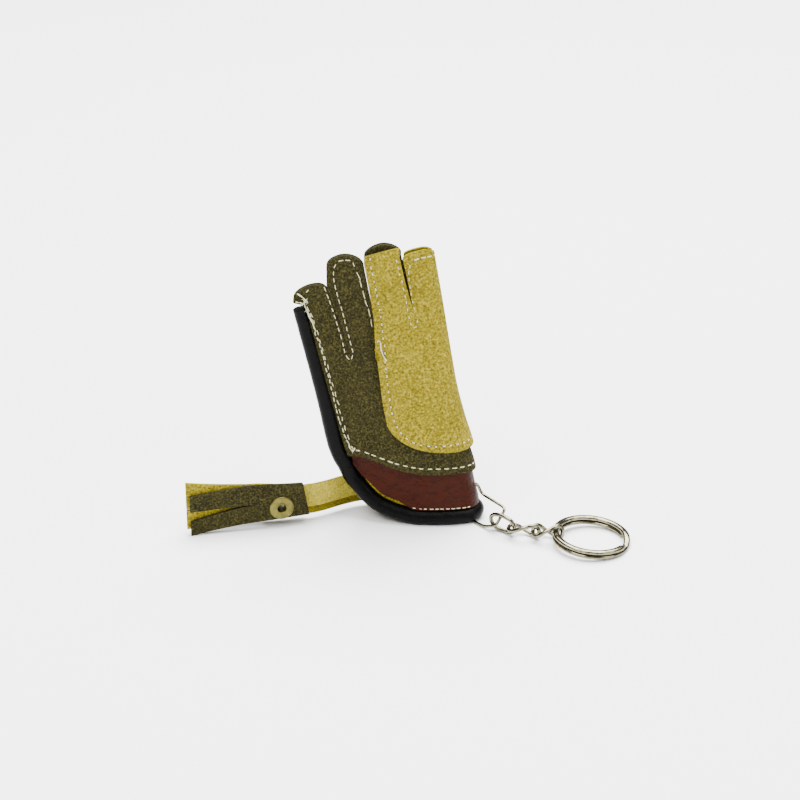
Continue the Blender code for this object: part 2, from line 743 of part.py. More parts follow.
def tassel_layer(name, place, collar, root, slit, upper, lower, reach, colour):
    """One leather layer of the tassel: a collar cut into two strips."""
    offset = (MIDDLE_LAYER - place) * LAYER
    head = np.linspace(STRAP_LENGTH, STRAP_LENGTH + TASSEL_HEAD, HEAD_COUNT)
    tail = np.linspace(head[-1], head[-1] + TASSEL_FRINGE * reach, STRIP_COUNT)
    ends = (head - head[0]) / TASSEL_HEAD
    grow = (tail - tail[0]) / (tail[-1] - tail[0])
    low, high = (TASSEL_HEIGHT * (collar[k] + ends * (root[k] - collar[k])) for k in (0, 1))
    middle = (slit - root[0]) / (root[1] - root[0])
    shares = np.array((0.0, middle / 2, middle, (1 + middle) / 2, 1.0))
    blocks = [upright(head, np.full(HEAD_COUNT, offset), low, high, shares)]
    for (start, stop), strip in (((root[0], slit), lower), ((slit, root[1]), upper)):
        bottom = TASSEL_HEIGHT * (start + grow * (strip[0] - start))
        top = TASSEL_HEIGHT * (stop + grow * (strip[1] - stop))
        blocks.append(upright(tail, np.full(STRIP_COUNT, offset), bottom, top, np.array((0.0, 0.5, 1.0))))
    layer = sheet(name, blocks, colour)
    return combine(layer, eyelet_cutter(name), "DIFFERENCE")


def tassel_strap():
    """Tan strap folded double. Its two ends lie inside the tassel, its bend behind the cuff."""
    leg = np.linspace(STRAP_LENGTH + TASSEL_HEAD * 0.9, 0, STRAP_COUNT)
    bend = np.linspace(0, math.pi, BEND_COUNT)[1:-1]
    half = LAYER / 2
    middle = -half
    length = np.concatenate([leg, -half * np.sin(bend), leg[::-1]])
    side = np.concatenate([np.full(STRAP_COUNT, half), half * np.cos(bend), np.full(STRAP_COUNT, -half)])
    points, normals = tassel_route(np.maximum(length, 0))
    beyond = np.minimum(length, 0)[:, None] * np.stack([normals[:, 1], -normals[:, 0]], -1)
    drop = STRAP_STEP * (1 - side / half) / 2
    low = STRAP_BASE + STRAP_STEP - drop
    grid = upright(np.maximum(length, 0), middle + side, low, low + STRAP_WIDTH, np.array((0.0, 0.5, 1.0)))
    grid[..., :2] += beyond[:, None, :]
    return combine(sheet("tassel_strap", [grid], "tan"), eyelet_cutter("tassel_strap"), "DIFFERENCE")


def eyelet_frame():
    """Centre of the eyelet in the middle of the tassel's stack, and the direction to its front."""
    points, normals = tassel_route(np.array([STRAP_LENGTH + EYELET_PLACE * TASSEL_HEAD]))
    return Vector((*points[0], TASSEL_HEIGHT * EYELET_HEIGHT)), Vector((*normals[0], 0))


def eyelet_cutter(name):
    centre, front = eyelet_frame()
    radius = EYELET_HOLE + EYELET_WALL + GAP
    bpy.ops.mesh.primitive_cylinder_add(vertices=EYELET_SIDES, radius=radius, depth=TASSEL_HEAD)
    hole = bpy.context.object
    hole.name = name + "_eyelet_hole"
    hole.location = centre
    hole.rotation_euler = front.to_track_quat("Z", "Y").to_euler()
    for parent in list(hole.users_collection):
        parent.objects.unlink(hole)
    return hole


def rivet_eyelet():
    """Brass eyelet, turned: a tube through all layers with a domed rim in front and a plain rim behind."""
    centre, front = eyelet_frame()
    face = MIDDLE_LAYER * LAYER + LEATHER / 2 + GAP
    tube = EYELET_HOLE + EYELET_WALL
    profile = (
        (EYELET_HOLE, -face - EYELET_RIM * 0.6),
        (EYELET_HOLE, face + EYELET_RIM * 0.55),
        (tube, face + EYELET_RIM),
        ((tube + EYELET_RADIUS) / 2, face + EYELET_RIM * 0.95),
        (EYELET_RADIUS, face + EYELET_RIM * 0.35),
        (EYELET_RADIUS, face),
        (tube, face),
        (tube, -face),
        (EYELET_RADIUS * 0.85, -face),
        (EYELET_RADIUS * 0.85, -face - EYELET_RIM * 0.6),
    )
    mesh = bpy.data.meshes.new("rivet_eyelet")
    count = len(profile)
    edges = [(k, (k + 1) % count) for k in range(count)]
    mesh.from_pydata([(radius, 0, z) for radius, z in profile], edges, [])
    part = bpy.data.objects.new("rivet_eyelet", mesh)
    turn = part.modifiers.new("Turned", "SCREW")
    turn.steps = turn.render_steps = EYELET_SIDES
    turn.use_merge_vertices = True
    turn.merge_threshold = 0.0001
    turn.use_smooth_shade = True
    part.location = centre
    part.rotation_euler = front.to_track_quat("Z", "Y").to_euler()
    return finish(part, "brass")


def link_path(length, left_roll, right_roll, bend):
    """Closed oval path, as formulas of an angle. Its loop turns from one roll to the other along its length."""
    angle = np.linspace(0, 2 * math.pi, LINK_COUNT, endpoint=False)
    along = (length - LINK_WIRE) / 2 * np.sign(np.cos(angle)) * np.abs(np.cos(angle)) ** bend
    wide = (LINK_WIDTH - LINK_WIRE) / 2 * np.sign(np.sin(angle)) * np.abs(np.sin(angle)) ** bend
    roll = np.radians(left_roll + ease((1 + np.cos(angle)) / 2) * (right_roll - left_roll))
    return np.stack([along, wide * np.cos(roll), wide * np.sin(roll)], -1)


def direction(heading):
    heading = math.radians(heading)
    return Vector((math.cos(heading), math.sin(heading), 0))


def link_centres():
    """Centres of the links, each hooked in the one before with the chain's slack."""
    upper, lower = triangle_corners()[2:4]
    centre = lower.lerp(upper, FIRST_LINK_PLACE) + Vector(FIRST_LINK_SHIFT)
    hook = LINK_WIRE + CHAIN_SLACK / 2
    centres = []
    for row in LINKS:
        link = named(LINK_COLUMNS, row)
        half = direction(link["heading"]) * (link["length"] / 2 - hook)
        if centres:
            centre = centre + half
        centres.append(Vector((centre.x, centre.y, link["lift"] * LINK_WIRE)))
        centre = centre + half
    return centres


def chain_link(row, centre):
    size = named(LINK_COLUMNS, row)
    path = link_path(size["length"], size["left_roll"], size["right_roll"], size["bend"])
    link = to_mesh(wire(size["name"], path, LINK_WIRE, WIRE_SIDES, closed=True))
    link.location = centre
    link.rotation_euler = (0, 0, math.radians(size["heading"]))
    return finish(link, "nickel")


def ring_section():
    """Flattened section of the split ring's wire, as a closed curve."""
    section = bpy.data.curves.new("ring_section", "CURVE")
    spline = section.splines.new("POLY")
    spline.points.add(RING_SIDES - 1)
    spline.use_cyclic_u = True
    for k in range(RING_SIDES):
        turn = 2 * math.pi * k / RING_SIDES
        spline.points[k].co = (RING_BAND / 2 * math.cos(turn), RING_TURN / 2 * math.sin(turn), 0, 1)
    return bpy.data.objects.new("ring_section", section)


def split_ring():
    """Spring ring of two flat turns with a step between them. Its left side is raised on the last link."""
    middle = (RING_DIAMETER - RING_BAND) / 2
    pitch = RING_TURN + RING_TURN_GAP
    angle = np.linspace(*RING_ENDS, RING_COUNT)
    climb = pitch * ease((angle - RING_STEP[0]) / RING_STEP[1])
    turn = np.radians(angle)
    path = np.stack([middle * np.cos(turn), middle * np.sin(turn), climb], -1)
    ring = wire("split_ring", path, RING_TURN, RING_SIDES)
    section = ring_section()
    ring.data.twist_mode = "Z_UP"
    ring.data.bevel_mode = "OBJECT"
    ring.data.bevel_object = section
    ring = to_mesh(ring)
    bpy.data.objects.remove(section)
    return place_ring(ring, middle, pitch)


def place_ring(ring, middle, pitch):
    """Tilts the ring so that the last link passes under its left side while its right side is on the floor."""
    last, link = link_centres()[-1], named(LINK_COLUMNS, LINKS[-1])
    hook = link["length"] / 2 - LINK_WIRE - RING_BAND / 2 - CHAIN_SLACK
    half = (RING_TURN + pitch) / 2
    tilt = math.asin((last.z - half) / (2 * middle))
    centre = last + direction(link["heading"]) * (hook + middle * math.cos(tilt))
    ring.location = (centre.x, centre.y, 0)
    ring.rotation_euler = (0, tilt, math.radians(link["heading"]))
    lowest = min((ring.rotation_euler.to_matrix() @ v.co).z for v in ring.data.vertices)
    ring.location.z = -lowest
    return finish(ring, "nickel")


def centre_on_floor():
    """Moves everything so that the middle of the whole box is at X = Y = 0, with the floor at Z = 0."""
    bpy.context.view_layer.update()
    graph = bpy.context.evaluated_depsgraph_get()
    corners = []
    for part in collection("falconry_glove").objects:
        seen = part.evaluated_get(graph)
        corners += [seen.matrix_world @ v.co for v in seen.data.vertices]
    corners = np.array(corners)
    shift = (corners.min(axis=0) + corners.max(axis=0)) / 2
    for name in ("falconry_glove", "cutters"):
        for part in collection(name).objects:
            part.location.x -= shift[0]
            part.location.y -= shift[1]


def main():
    for obj in list(bpy.data.objects):
        bpy.data.objects.remove(obj)
    glove_shell()
    finger_patch()
    pierced_band()
    cuff_lining()
    edge_piping()
    tassel_strap()
    for row in TASSEL_LAYERS:
        tassel_layer(**named(TASSEL_COLUMNS, row))
    rivet_eyelet()
    triangle_ring()
    for row, centre in zip(LINKS, link_centres()):
        chain_link(row, centre)
    split_ring()
    centre_on_floor()


main()
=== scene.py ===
"""Miniature falconry glove on a key ring: the finished look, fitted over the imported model.

The leather lies on one surface, described in the front view. "Across" runs from 0 at the sewn left seam to
1 at the fold on the right, and "height" is a share of the glove's height. The back is the front mirrored.
"""

import math

import bmesh
import bpy
import numpy as np
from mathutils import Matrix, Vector


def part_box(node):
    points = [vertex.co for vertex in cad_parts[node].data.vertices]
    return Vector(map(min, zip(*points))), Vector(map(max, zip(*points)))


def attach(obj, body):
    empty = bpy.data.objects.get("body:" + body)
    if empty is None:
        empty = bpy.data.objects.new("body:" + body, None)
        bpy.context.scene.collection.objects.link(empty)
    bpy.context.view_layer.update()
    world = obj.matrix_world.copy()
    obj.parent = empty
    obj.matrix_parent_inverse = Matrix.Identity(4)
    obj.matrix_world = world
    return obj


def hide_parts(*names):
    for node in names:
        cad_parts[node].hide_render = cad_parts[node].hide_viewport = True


bl_info = {
    "name": "Falconry glove key fob",
    "version": (1, 0, 0),
    "blender": (4, 5, 0),
    "location": "3D View > Sidebar > Glove",
    "description": "Builds a miniature falconry glove with its tassel, chain and split ring",
    "category": "Add Mesh",
}

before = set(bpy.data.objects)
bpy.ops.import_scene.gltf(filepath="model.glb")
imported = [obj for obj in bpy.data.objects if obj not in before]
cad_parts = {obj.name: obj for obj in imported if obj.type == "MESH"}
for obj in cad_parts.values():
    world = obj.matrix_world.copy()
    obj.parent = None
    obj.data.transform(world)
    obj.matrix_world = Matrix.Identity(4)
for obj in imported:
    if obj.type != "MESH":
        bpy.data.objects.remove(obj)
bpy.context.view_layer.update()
MM = 0.001

# Outline of the glove: height, seam and fold as shares of its height and span, depth as a share of the cuff's
# depth, and how far the seam opens.
OUTLINE_COLUMNS = ("height", "seam", "fold", "depth", "opening")
OUTLINE = (
    (0.000, -0.183, 0.507, 1.00, 1.00),
    (0.062, -0.186, 0.498, 1.00, 1.00),
    (0.135, -0.194, 0.472, 1.00, 1.00),
    (0.208, -0.209, 0.448, 1.02, 0.93),
    (0.275, -0.243, 0.415, 1.04, 0.75),
    (0.375, -0.288, 0.367, 0.97, 0.00),
    (0.480, -0.328, 0.326, 0.82, 0.00),
    (0.620, -0.383, 0.288, 0.55, 0.00),
    (0.775, -0.441, 0.248, 0.36, 0.00),
    (1.000, -0.525, 0.187, 0.27, 0.00),
)

# Where the little finger steps out over the piping's end: heights of the step, and its left edge across the
# span
NOTCH = (0.775, 0.788)
LITTLE_EDGE = -0.505

# Slits between neighbouring fingers, straight in the front view, as shares of span and height
SLIT_COLUMNS = ("crotch", "crotch_height", "top", "top_height")
SLITS = ((-0.212, 0.607, -0.331, 0.844), (-0.084, 0.741, -0.137, 0.930), (0.123, 0.766, 0.060, 0.946))
SLIT_WIDTHS = {"olive": (0.22 * MM, 0.40 * MM, 0.06 * MM), "tan": (0.26 * MM, 0.45 * MM, 0.95 * MM)}

# Shoulder heights of each fingertip, and how far its crown rises above them, as shares of the height
FINGER_COLUMNS = ("name", "left_height", "right_height", "crown", "roundness")
FINGERS = (
    ("little", 0.797, 0.829, 0.032, 2.2),
    ("ring", 0.914, 0.918, 0.035, 1.8),
    ("middle", 0.948, 0.958, 0.036, 1.7),
    ("index", 0.930, 0.945, 0.013, 2.5),
)
PATCH_FINGERS = (("middle", 0.950, 0.982, 0.003, 1.5), ("index", 0.943, 0.966, 0.015, 3.0))
PATCH_BACK_FINGERS = (("middle", 0.938, 0.950, 0.003, 1.5), ("index", 0.938, 0.961, 0.015, 3.0))
PANEL_HEM_COLUMNS = ("across", "height")
PANEL_HEM = ((0.00, 0.238), (0.10, 0.245), (0.20, 0.236), (0.40, 0.210), (0.60, 0.197), (0.90, 0.194),
             (1.00, 0.186))
PATCH_EDGE_COLUMNS = ("share", "across", "height")
PATCH_EDGE = (
    (0.00, 0.424, 0.370),
    (0.12, 0.444, 0.347),
    (0.25, 0.502, 0.320),
    (0.45, 0.608, 0.296),
    (0.70, 0.782, 0.282),
    (1.00, 1.000, 0.277),
)
PATCH_WAIST = (0.450, 0.590)
HEM_COLUMNS = ("span", "rise")
HEM = (
    (-0.240, 0.171),
    (-0.197, 0.115),
    (-0.147, 0.075),
    (-0.074, 0.039),
    (-0.006, 0.022),
    (0.076, 0.008),
    (0.154, 0.001),
    (0.270, 0.000),
)

# Piping beside the seam, in millimetres: height and place of its centre, and its radius
SIDE_COLUMNS = ("height", "right", "radius")
SIDE = ((73.3, -28.4, 2.12), (64.1, -26.25, 2.15), (52.7, -23.5, 2.28), (39.4, -20.4, 2.50),
        (25.5, -17.3, 2.80), (22.1, -16.1, 2.85))

# Rows of stitches through places of the front view in millimetres (right, up), with the distance between
# needle holes, the share of it that thread covers, how unsteady the hand is, the thread's thickness and the
# size of the painted shade in each needle hole
SEAM_COLUMNS = ("leather", "pitch", "cover", "wander", "thread", "hole", "places")
SEAMS = (
    ("olive", 1.9, 0.75, 0.08, 0.66, 0.16, ((-26.4, 78.5), (-25.2, 80.1), (-23.9, 80.9))),
    ("olive", 2.4, 0.74, 0.07, 0.66, 0.18, (
        (-20.7, 81.3), (-20.0, 79.5), (-17.8, 72.6), (-16.3, 67.3), (-14.8, 62.1), (-13.9, 58.0),
        (-12.5, 56.4), (-11.7, 58.6), (-12.6, 63.4), (-13.7, 68.1), (-14.8, 73.0), (-16.2, 78.2),
        (-17.2, 83.3), (-17.4, 86.2), (-16.6, 88.8), (-15.4, 89.7), (-13.2, 89.9), (-11.6, 89.4),
        (-10.9, 87.4))),
    ("olive", 3.1, 0.95, 0.10, 0.75, 0.14, (
        (-10.8, 86.8), (-9.5, 83.6), (-8.8, 80.6), (-7.8, 76.6), (-6.6, 73.0), (-6.1, 70.4), (-5.7, 67.6))),
    ("olive", 2.1, 0.78, 0.20, 0.85, 0.18, (
        (-26.0, 74.6), (-24.6, 70.1), (-23.2, 64.6), (-21.5, 59.2), (-19.8, 52.0), (-18.1, 45.1),
        (-16.7, 38.0), (-15.0, 31.9), (-13.2, 27.8), (-11.6, 25.6))),
    ("olive", 3.0, 0.60, 0.40, 0.70, 0.18, (
        (-24.6, 73.0), (-22.4, 64.4), (-20.3, 57.0), (-17.2, 45.0), (-14.2, 32.8), (-12.4, 28.4))),
    ("tan", 2.45, 0.50, 0.05, 0.80, 0.30, (
        (-6.0, 91.7), (-4.9, 87.2), (-3.9, 82.2), (-3.0, 77.3), (-2.2, 72.1), (-1.7, 67.2), (-1.5, 57.9),
        (-0.9, 52.3), (0.0, 45.4), (1.0, 39.8), (2.3, 36.0), (4.7, 32.6), (7.9, 30.5), (11.5, 29.6),
        (15.3, 29.3), (19.8, 29.3), (23.9, 29.1), (26.2, 29.0))),
    ("tan", 2.4, 0.55, 0.05, 0.72, 0.20, (
        (1.8, 91.2), (2.1, 90.2), (2.5, 88.6), (3.4, 83.3), (4.5, 77.5), (5.3, 72.0), (6.0, 68.9),
        (7.4, 67.7), (8.7, 69.0), (8.4, 74.2), (7.6, 79.5), (6.9, 85.2), (6.2, 90.0))),
    ("tan", 2.1, 0.85, 0.06, 1.00, 0.14, (
        (7.2, 90.3), (8.4, 90.8), (10.2, 91.2), (12.6, 91.5), (14.2, 91.2))),
)

# Slack threads on the front: radius in millimetres, and places (right, up, off the leather) in millimetres
STRAND_COLUMNS = ("layer", "radius", "places")
STRANDS = (
    ("olive", 0.24, ((-28.9, 78.7, 0.2), (-27.6, 78.0, 0.7), (-26.5, 77.0, 0.9), (-26.0, 76.1, 0.5))),
    ("olive", 0.20, ((-29.4, 75.9, 0.1), (-28.2, 75.9, 0.6), (-27.0, 75.4, 0.5))),
    ("olive", 0.16, ((-28.2, 74.5, 0.1), (-27.5, 75.2, 0.6), (-26.6, 75.9, 0.5))),
    ("olive", 0.28, ((-26.6, 77.0, 0.7), (-26.7, 75.3, 0.6), (-26.3, 73.9, 0.4), (-25.7, 72.4, 0.3),
                     (-25.2, 71.0, 0.4), (-24.6, 69.7, 0.3), (-23.3, 65.9, 0.1))),
    ("tan", 0.18, ((-3.9, 63.0, 0.3), (-3.6, 63.7, 0.7), (-3.0, 63.5, 0.9), (-2.8, 62.9, 0.5))),
    ("tan", 0.26, ((-2.9, 63.3, 0.8), (-2.7, 60.9, 0.4), (-2.0, 58.7, 0.3), (-1.0, 57.0, 0.0))),
    ("olive", 0.22, ((-12.9, 27.6, 0.3), (-12.2, 26.2, 0.8), (-11.5, 25.6, 0.7), (-11.0, 26.6, 0.3))),
)

# Layers of the tassel from front to back, with heights as shares of the tassel's height
TASSEL_COLUMNS = ("name", "place", "collar", "root", "slit", "upper", "lower", "reach", "leather")
TASSEL_LAYERS = (
    ("tassel_front", 0, (0.205, 0.815), (0.155, 0.87), 0.50, (0.46, 0.76), (0.00, 0.27), 1.00, "olive"),
    ("tassel_fringe", 1, (0.26, 0.75), (0.22, 0.86), 0.52, (0.48, 0.99), (0.10, 0.46), 1.05, "tan"),
    ("tassel_back", 4, (0.12, 0.62), (0.06, 0.74), 0.42, (0.44, 0.79), (0.00, 0.34), 0.86, "olive"),
)
HEADING_COLUMNS = ("length", "heading")
HEADINGS = (
    (0.00, 12.0),
    (0.10, 15.0),
    (0.17, 25.0),
    (0.28, 34.0),
    (0.36, 27.0),
    (0.43, 15.0),
    (0.60, 13.0),
    (0.72, 11.0),
    (1.00, 11.0),
)

# Corners of the wire ring outside the cuff, from its eye in the band, as shares of its side
TRIANGLE_COLUMNS = ("name", "right", "back", "up")
TRIANGLE = (("edge", 0.23, -0.05, -0.34), ("upper", 0.89, -0.72, -0.47), ("lower", 0.60, -1.07, -0.84))

# Chain links: length, roll of the loop at each end, heading, height of the centre in wires, squareness of
# the ends
LINK_COLUMNS = ("name", "length", "left_roll", "right_roll", "heading", "lift", "bend")
LINKS = (
    ("chain_link_1", 10.5 * MM, 100.0, 100.0, -38.0, 2.67, 0.85),
    ("chain_link_2", 11.3 * MM, 4.0, -70.0, -16.0, 2.36, 0.85),
    ("chain_link_3", 10.8 * MM, 30.0, -90.0, -8.0, 2.48, 0.70),
)

# Fixed shape of the palm, the fingers and the seams
CREST = 0.60
FOLD_START = 0.86
PALM_ROUNDNESS = 2.2
LOBE_START = 0.42
LOBE_END = 0.74
ALLOWANCE = 0.14
SLOPE_STEP = 0.02 * MM
WELD = 0.004 * MM
EDGE = 1e-9
TAU = 2 * math.pi

# Finish of the leathers: depth of their relief, and the soft edge of a cut sheet and the angle it starts at
RELIEF = 0.12 * MM
SOFT_EDGE = 0.12 * MM
SOFT_ANGLE = math.radians(50)

# Seams worked out from an edge: distance of the hem's from it, and of the band's from the piping
HEM_SEAM = 2.2 * MM
BAND_SEAM = 0.55 * MM
STITCH_LIFT = 0.16 * MM

# Loose fibres at the knots, in millimetres: centre in the front view, number and longest length
KNOTS = (((-26.7, 76.2), 12, 1.9), ((-26.0, 73.0), 8, 1.2), ((-11.7, 25.9), 5, 1.6))

# The cuff's band: height of its free edge's extra lift, share of the hem where it comes free, curl of the
# free edge and height of its creases
BAND_LIFT = 0.4 * MM
BAND_FREE = 0.5
BAND_CURL = 0.45 * MM
BAND_CREASE = 0.14 * MM

# The piping's extra thickness where it leaves the seam, the depth of its puckers, and rings of each rounded
# end
PIPING_FULL = 0.25 * MM
PUCKER = 0.012
END_RINGS = np.array((0.0, 0.55, 0.86, 0.97, 1.0))

# Camera: what it looks at, its height angle, lens and sensor. Lights: place from there, size and power
VIEW_CENTRE = Vector((3.2 * MM, 0, 41.5 * MM))
ELEVATION = math.radians(25)
LENS = 98.4
SENSOR = 36
WORLD_LIGHT = 0.32
LIGHTS = (
    ("key", (-0.5, -0.7, 1.1), 0.8, 24.0),
    ("fill", (0.9, -0.5, 0.6), 0.6, 8.0),
    ("top", (0.1, 0.4, 1.3), 1.4, 130.0),
)


def linear(code):
    """Linear colour of an sRGB hex code."""
    parts = [int(code[k:k + 2], 16) / 255 for k in (1, 3, 5)]
    return tuple(c / 12.92 if c <= 0.04045 else ((c + 0.055) / 1.055) ** 2.4 for c in parts)


def length(name, description, default):
    """A property for a length in metres."""
    return bpy.props.FloatProperty(
        name=name, description=description, default=default, unit="LENGTH", precision=5)


def colour(name, description, code):
    """A property for a colour, from its sRGB hex code."""
    return bpy.props.FloatVectorProperty(
        name=name, description=description, default=linear(code), subtype="COLOR", size=3, min=0, max=1)


class GloveSizes(bpy.types.PropertyGroup):
    """Sizes of the glove, its tassel and its hardware."""

    height: length("Height", "Height that the outline's shares are taken of", 96 * MM)
    span: length("Span", "Width that the outline's shares are taken of", 60 * MM)
    cuff_depth: length("Cuff depth", "How far the palm stands out from the seam", 5.6 * MM)
    seam_opening: length("Seam opening", "Half the gap between the cuff's two sides at the seam", 2.6 * MM)
    finger_bulge: length("Finger bulge", "How far each side of a finger stands out", 1.2 * MM)
    leather: length("Leather", "Thickness of the leather", 1.0 * MM)
    gap: length("Gap", "Play between two pieces of leather", 0.3 * MM)
    patch_play: length("Patch play", "Extra play under the tan patch", 0.2 * MM)
    slit_taper: length("Slit taper", "Length over which a slit closes towards its crotch", 5 * MM)
    tip_seam: length("Tip seam", "Distance of a fingertip's seam from its edge", 1.8 * MM)
    tip_length: length("Tip length", "How far below its seam a fingertip comes to full depth", 5.0 * MM)
    band_overlap: length("Band overlap", "How far the band reaches up under the olive hem", 2.0 * MM)
    band_relief: length("Band relief", "How far the band's free edge stands off the piping", 1.3 * MM)
    lining: length("Lining", "Height of the lining strip", 6.0 * MM)
    piping_hem: length("Piping hem radius", "Radius of the piping along the hem", 2.6 * MM)
    piping_flat: length("Piping flat", "How far the piping is pressed flat on the floor", 0.15 * MM)
    thread: length("Thread", "Diameter of the sewing thread", 0.42 * MM)
    tassel_height: length("Tassel height", "Height of the tassel's strips at their ends", 18.5 * MM)
    tassel_head: length("Tassel head", "Length of the tassel's collar", 15.6 * MM)
    tassel_fringe: length("Tassel fringe", "Length of the tassel's strips", 21.9 * MM)
    strap_length: length("Strap length", "Length of the strap up to the collar", 30.3 * MM)
    strap_width: length("Strap width", "Width of the strap", 7.9 * MM)
    strap_base: length("Strap base", "Height of the strap's lower edge", 1.9 * MM)
    collar_slant: length("Collar slant", "How far the collar's right edge leans", 1.9 * MM)
    strap_step: length("Strap step", "How much higher the front layer of the strap lies", 3.2 * MM)
    eyelet: length("Eyelet radius", "Outer radius of the eyelet", 4.0 * MM)
    eyelet_hole: length("Eyelet hole", "Radius of the eyelet's hole", 1.35 * MM)
    eyelet_wall: length("Eyelet wall", "Thickness of the eyelet's tube", 0.45 * MM)
    eyelet_rim: length("Eyelet rim", "How far the eyelet's rim stands out", 0.7 * MM)
    triangle_wire: length("Wire", "Thickness of the bent wire ring", 1.0 * MM)
    triangle_side: length("Wire ring side", "Size of the bent wire ring", 11.5 * MM)
    triangle_bend: length("Wire ring bend", "Size of the bends of the wire ring", 1.6 * MM)
    triangle_inset: length("Wire ring inset", "How far in front of the glove's middle the wire is", 1.2 * MM)
    triangle_eye: length("Wire ring eye", "Height of the hole for the wire ring", 12.7 * MM)
    link_wire: length("Link wire", "Thickness of the links' wire", 1.35 * MM)
    link_width: length("Link width", "Outer width of a link", 7.3 * MM)
    slack: length("Slack", "Play where two links meet", 0.6 * MM)
    ring: length("Split ring", "Outer diameter of the split ring", 25 * MM)
    ring_band: length("Ring band", "Width of the split ring's wire", 2.1 * MM)
    ring_turn: length("Ring turn", "Height of one turn of the split ring", 1.45 * MM)
    ring_gap: length("Ring gap", "Gap between the ring's turns", 0.12 * MM)
    distance: length("Camera distance", "Distance of the camera from the glove", 700 * MM)


class GloveColours(bpy.types.PropertyGroup):
    """Colours of the leathers, the thread and the metals."""

    olive: colour("Olive suede", "Nap of the olive suede", "#292610")
    olive_dark: colour("Olive shade", "Brushed-down nap of the olive suede", "#100F06")
    olive_light: colour("Olive fibres", "Raised fibres of the olive suede", "#45411E")
    tan: colour("Tan nubuck", "Nap of the tan nubuck", "#786B13")
    tan_dark: colour("Tan shade", "Grain of the tan nubuck", "#4C430A")
    tan_light: colour("Tan fibres", "Raised grain of the tan nubuck", "#9A8D32")
    oxblood: colour("Oxblood", "Smooth leather of the band", "#2C0D03")
    # Painted shade: colour that darkens the band's creases
    oxblood_crease_shade: colour("Oxblood shade", "Creases of the band", "#160401")
    black: colour("Black", "Smooth leather of the piping", "#040404")
    thread: colour("Thread", "Sewing thread", "#C6C29C")
    nickel: colour("Nickel", "Nickel plate", "#7F7A64")
    brass: colour("Brass", "Aged brass of the eyelet", "#655F2C")
    floor: colour("Floor", "Table and backdrop", "#F0F0F0")


def sizes():
    return bpy.context.scene.glove_sizes


def colours():
    return bpy.context.scene.glove_colours


def smooth(x, xs, ys):
    """Monotone cubic through the points (xs, ys), held level beyond the ends."""
    xs, ys = np.asarray(xs, float), np.asarray(ys, float)
    run = np.diff(xs)
    rise = np.diff(ys) / run
    product = rise[:-1] * rise[1:]
    inner = np.where(product > 0, 2 * product / np.where(product > 0, rise[:-1] + rise[1:], 1), 0)
    slope = np.concatenate([rise[:1], inner, rise[-1:]])
    x = np.clip(x, xs[0], xs[-1])
    i = np.clip(np.searchsorted(xs, x) - 1, 0, len(run) - 1)
    t = (x - xs[i]) / run[i]
    ends = ys[i] * (1 + 2 * t) * (1 - t) ** 2 + ys[i + 1] * t * t * (3 - 2 * t)
    return ends + run[i] * t * (1 - t) * (slope[i] * (1 - t) - slope[i + 1] * t)


def ease(share):
    """Runs from 0 to 1, level at both ends."""
    share = np.clip(share, 0, 1)
    return share * share * (3 - 2 * share)


def along(values, marks, at):
    """Values of a line at distances along it, its own distances being the marks."""
    return np.stack([np.interp(at, marks, values[:, k]) for k in range(3)], -1)


def unit(vectors):
    """The same vectors with a length of 1."""
    return vectors / np.maximum(np.linalg.norm(vectors, axis=-1, keepdims=True), EDGE)


def column(table, columns, name):
    return [row[columns.index(name)] for row in table]


def named(columns, row):
    return dict(zip(columns, row))


def outline(z, name):
    """One column of the outline table at the heights z."""
    heights = column(OUTLINE, OUTLINE_COLUMNS, "height")
    return smooth(np.asarray(z) / sizes().height, heights, column(OUTLINE, OUTLINE_COLUMNS, name))


def seam_x(z):
    return sizes().span * outline(z, "seam")


def fold_x(z):
    return sizes().span * outline(z, "fold")


def to_plane(across, z):
    """X of the places with the given share across, at the heights z."""
    left = seam_x(z)
    return left + across * (fold_x(z) - left)


def to_across(x, z):
    left = seam_x(z)
    return (x - left) / (fold_x(z) - left)


def slit_across(slit, z):
    """Share across of a slit at the heights z: straight, also below its crotch, and upright above its top."""
    crotch, low, top, high = slit
    reach = np.clip((z / sizes().height - low) / (high - low), -2, 1)
    return to_across(sizes().span * (crotch + (top - crotch) * reach), z)


def crown(row, shares):
    """Heights along a fingertip: a line between its shoulders with a round crown on it."""
    tip = named(FINGER_COLUMNS, row)
    slope = tip["right_height"] - tip["left_height"]
    power = tip["roundness"]
    rise = tip["crown"] * (1 - np.abs(2 * shares - 1) ** power) ** (1 / power)
    return tip["left_height"] + shares * slope + rise


def lobes(across, z):
    """Bulge of the fingers: 0 at each sewn edge and tip, 1 along each finger's middle, round at the fold."""
    size = sizes()
    edges = [np.zeros_like(across)] + [slit_across(slit, z) for slit in SLITS] + [np.ones_like(across)]
    bulge = np.zeros_like(across)
    for row, left, right in zip(FINGERS, edges, edges[1:]):
        share = np.clip((across - left) / (right - left), 0, 1)
        middle = np.clip((share - ALLOWANCE) / (1 - 2 * ALLOWANCE), 0, 1)
        swell = np.sin(math.pi * middle) ** 1.3
        if row is FINGERS[-1]:
            swell = np.where(share > 0.5, np.sqrt(np.clip(1 - (2 * share - 1) ** 2, 0, 1)), swell)
        below = (size.height * crown(row, share) - z - size.tip_seam) / size.tip_length
        bulge = np.maximum(bulge, swell * np.sin(math.pi / 2 * ease(below)))
    return bulge


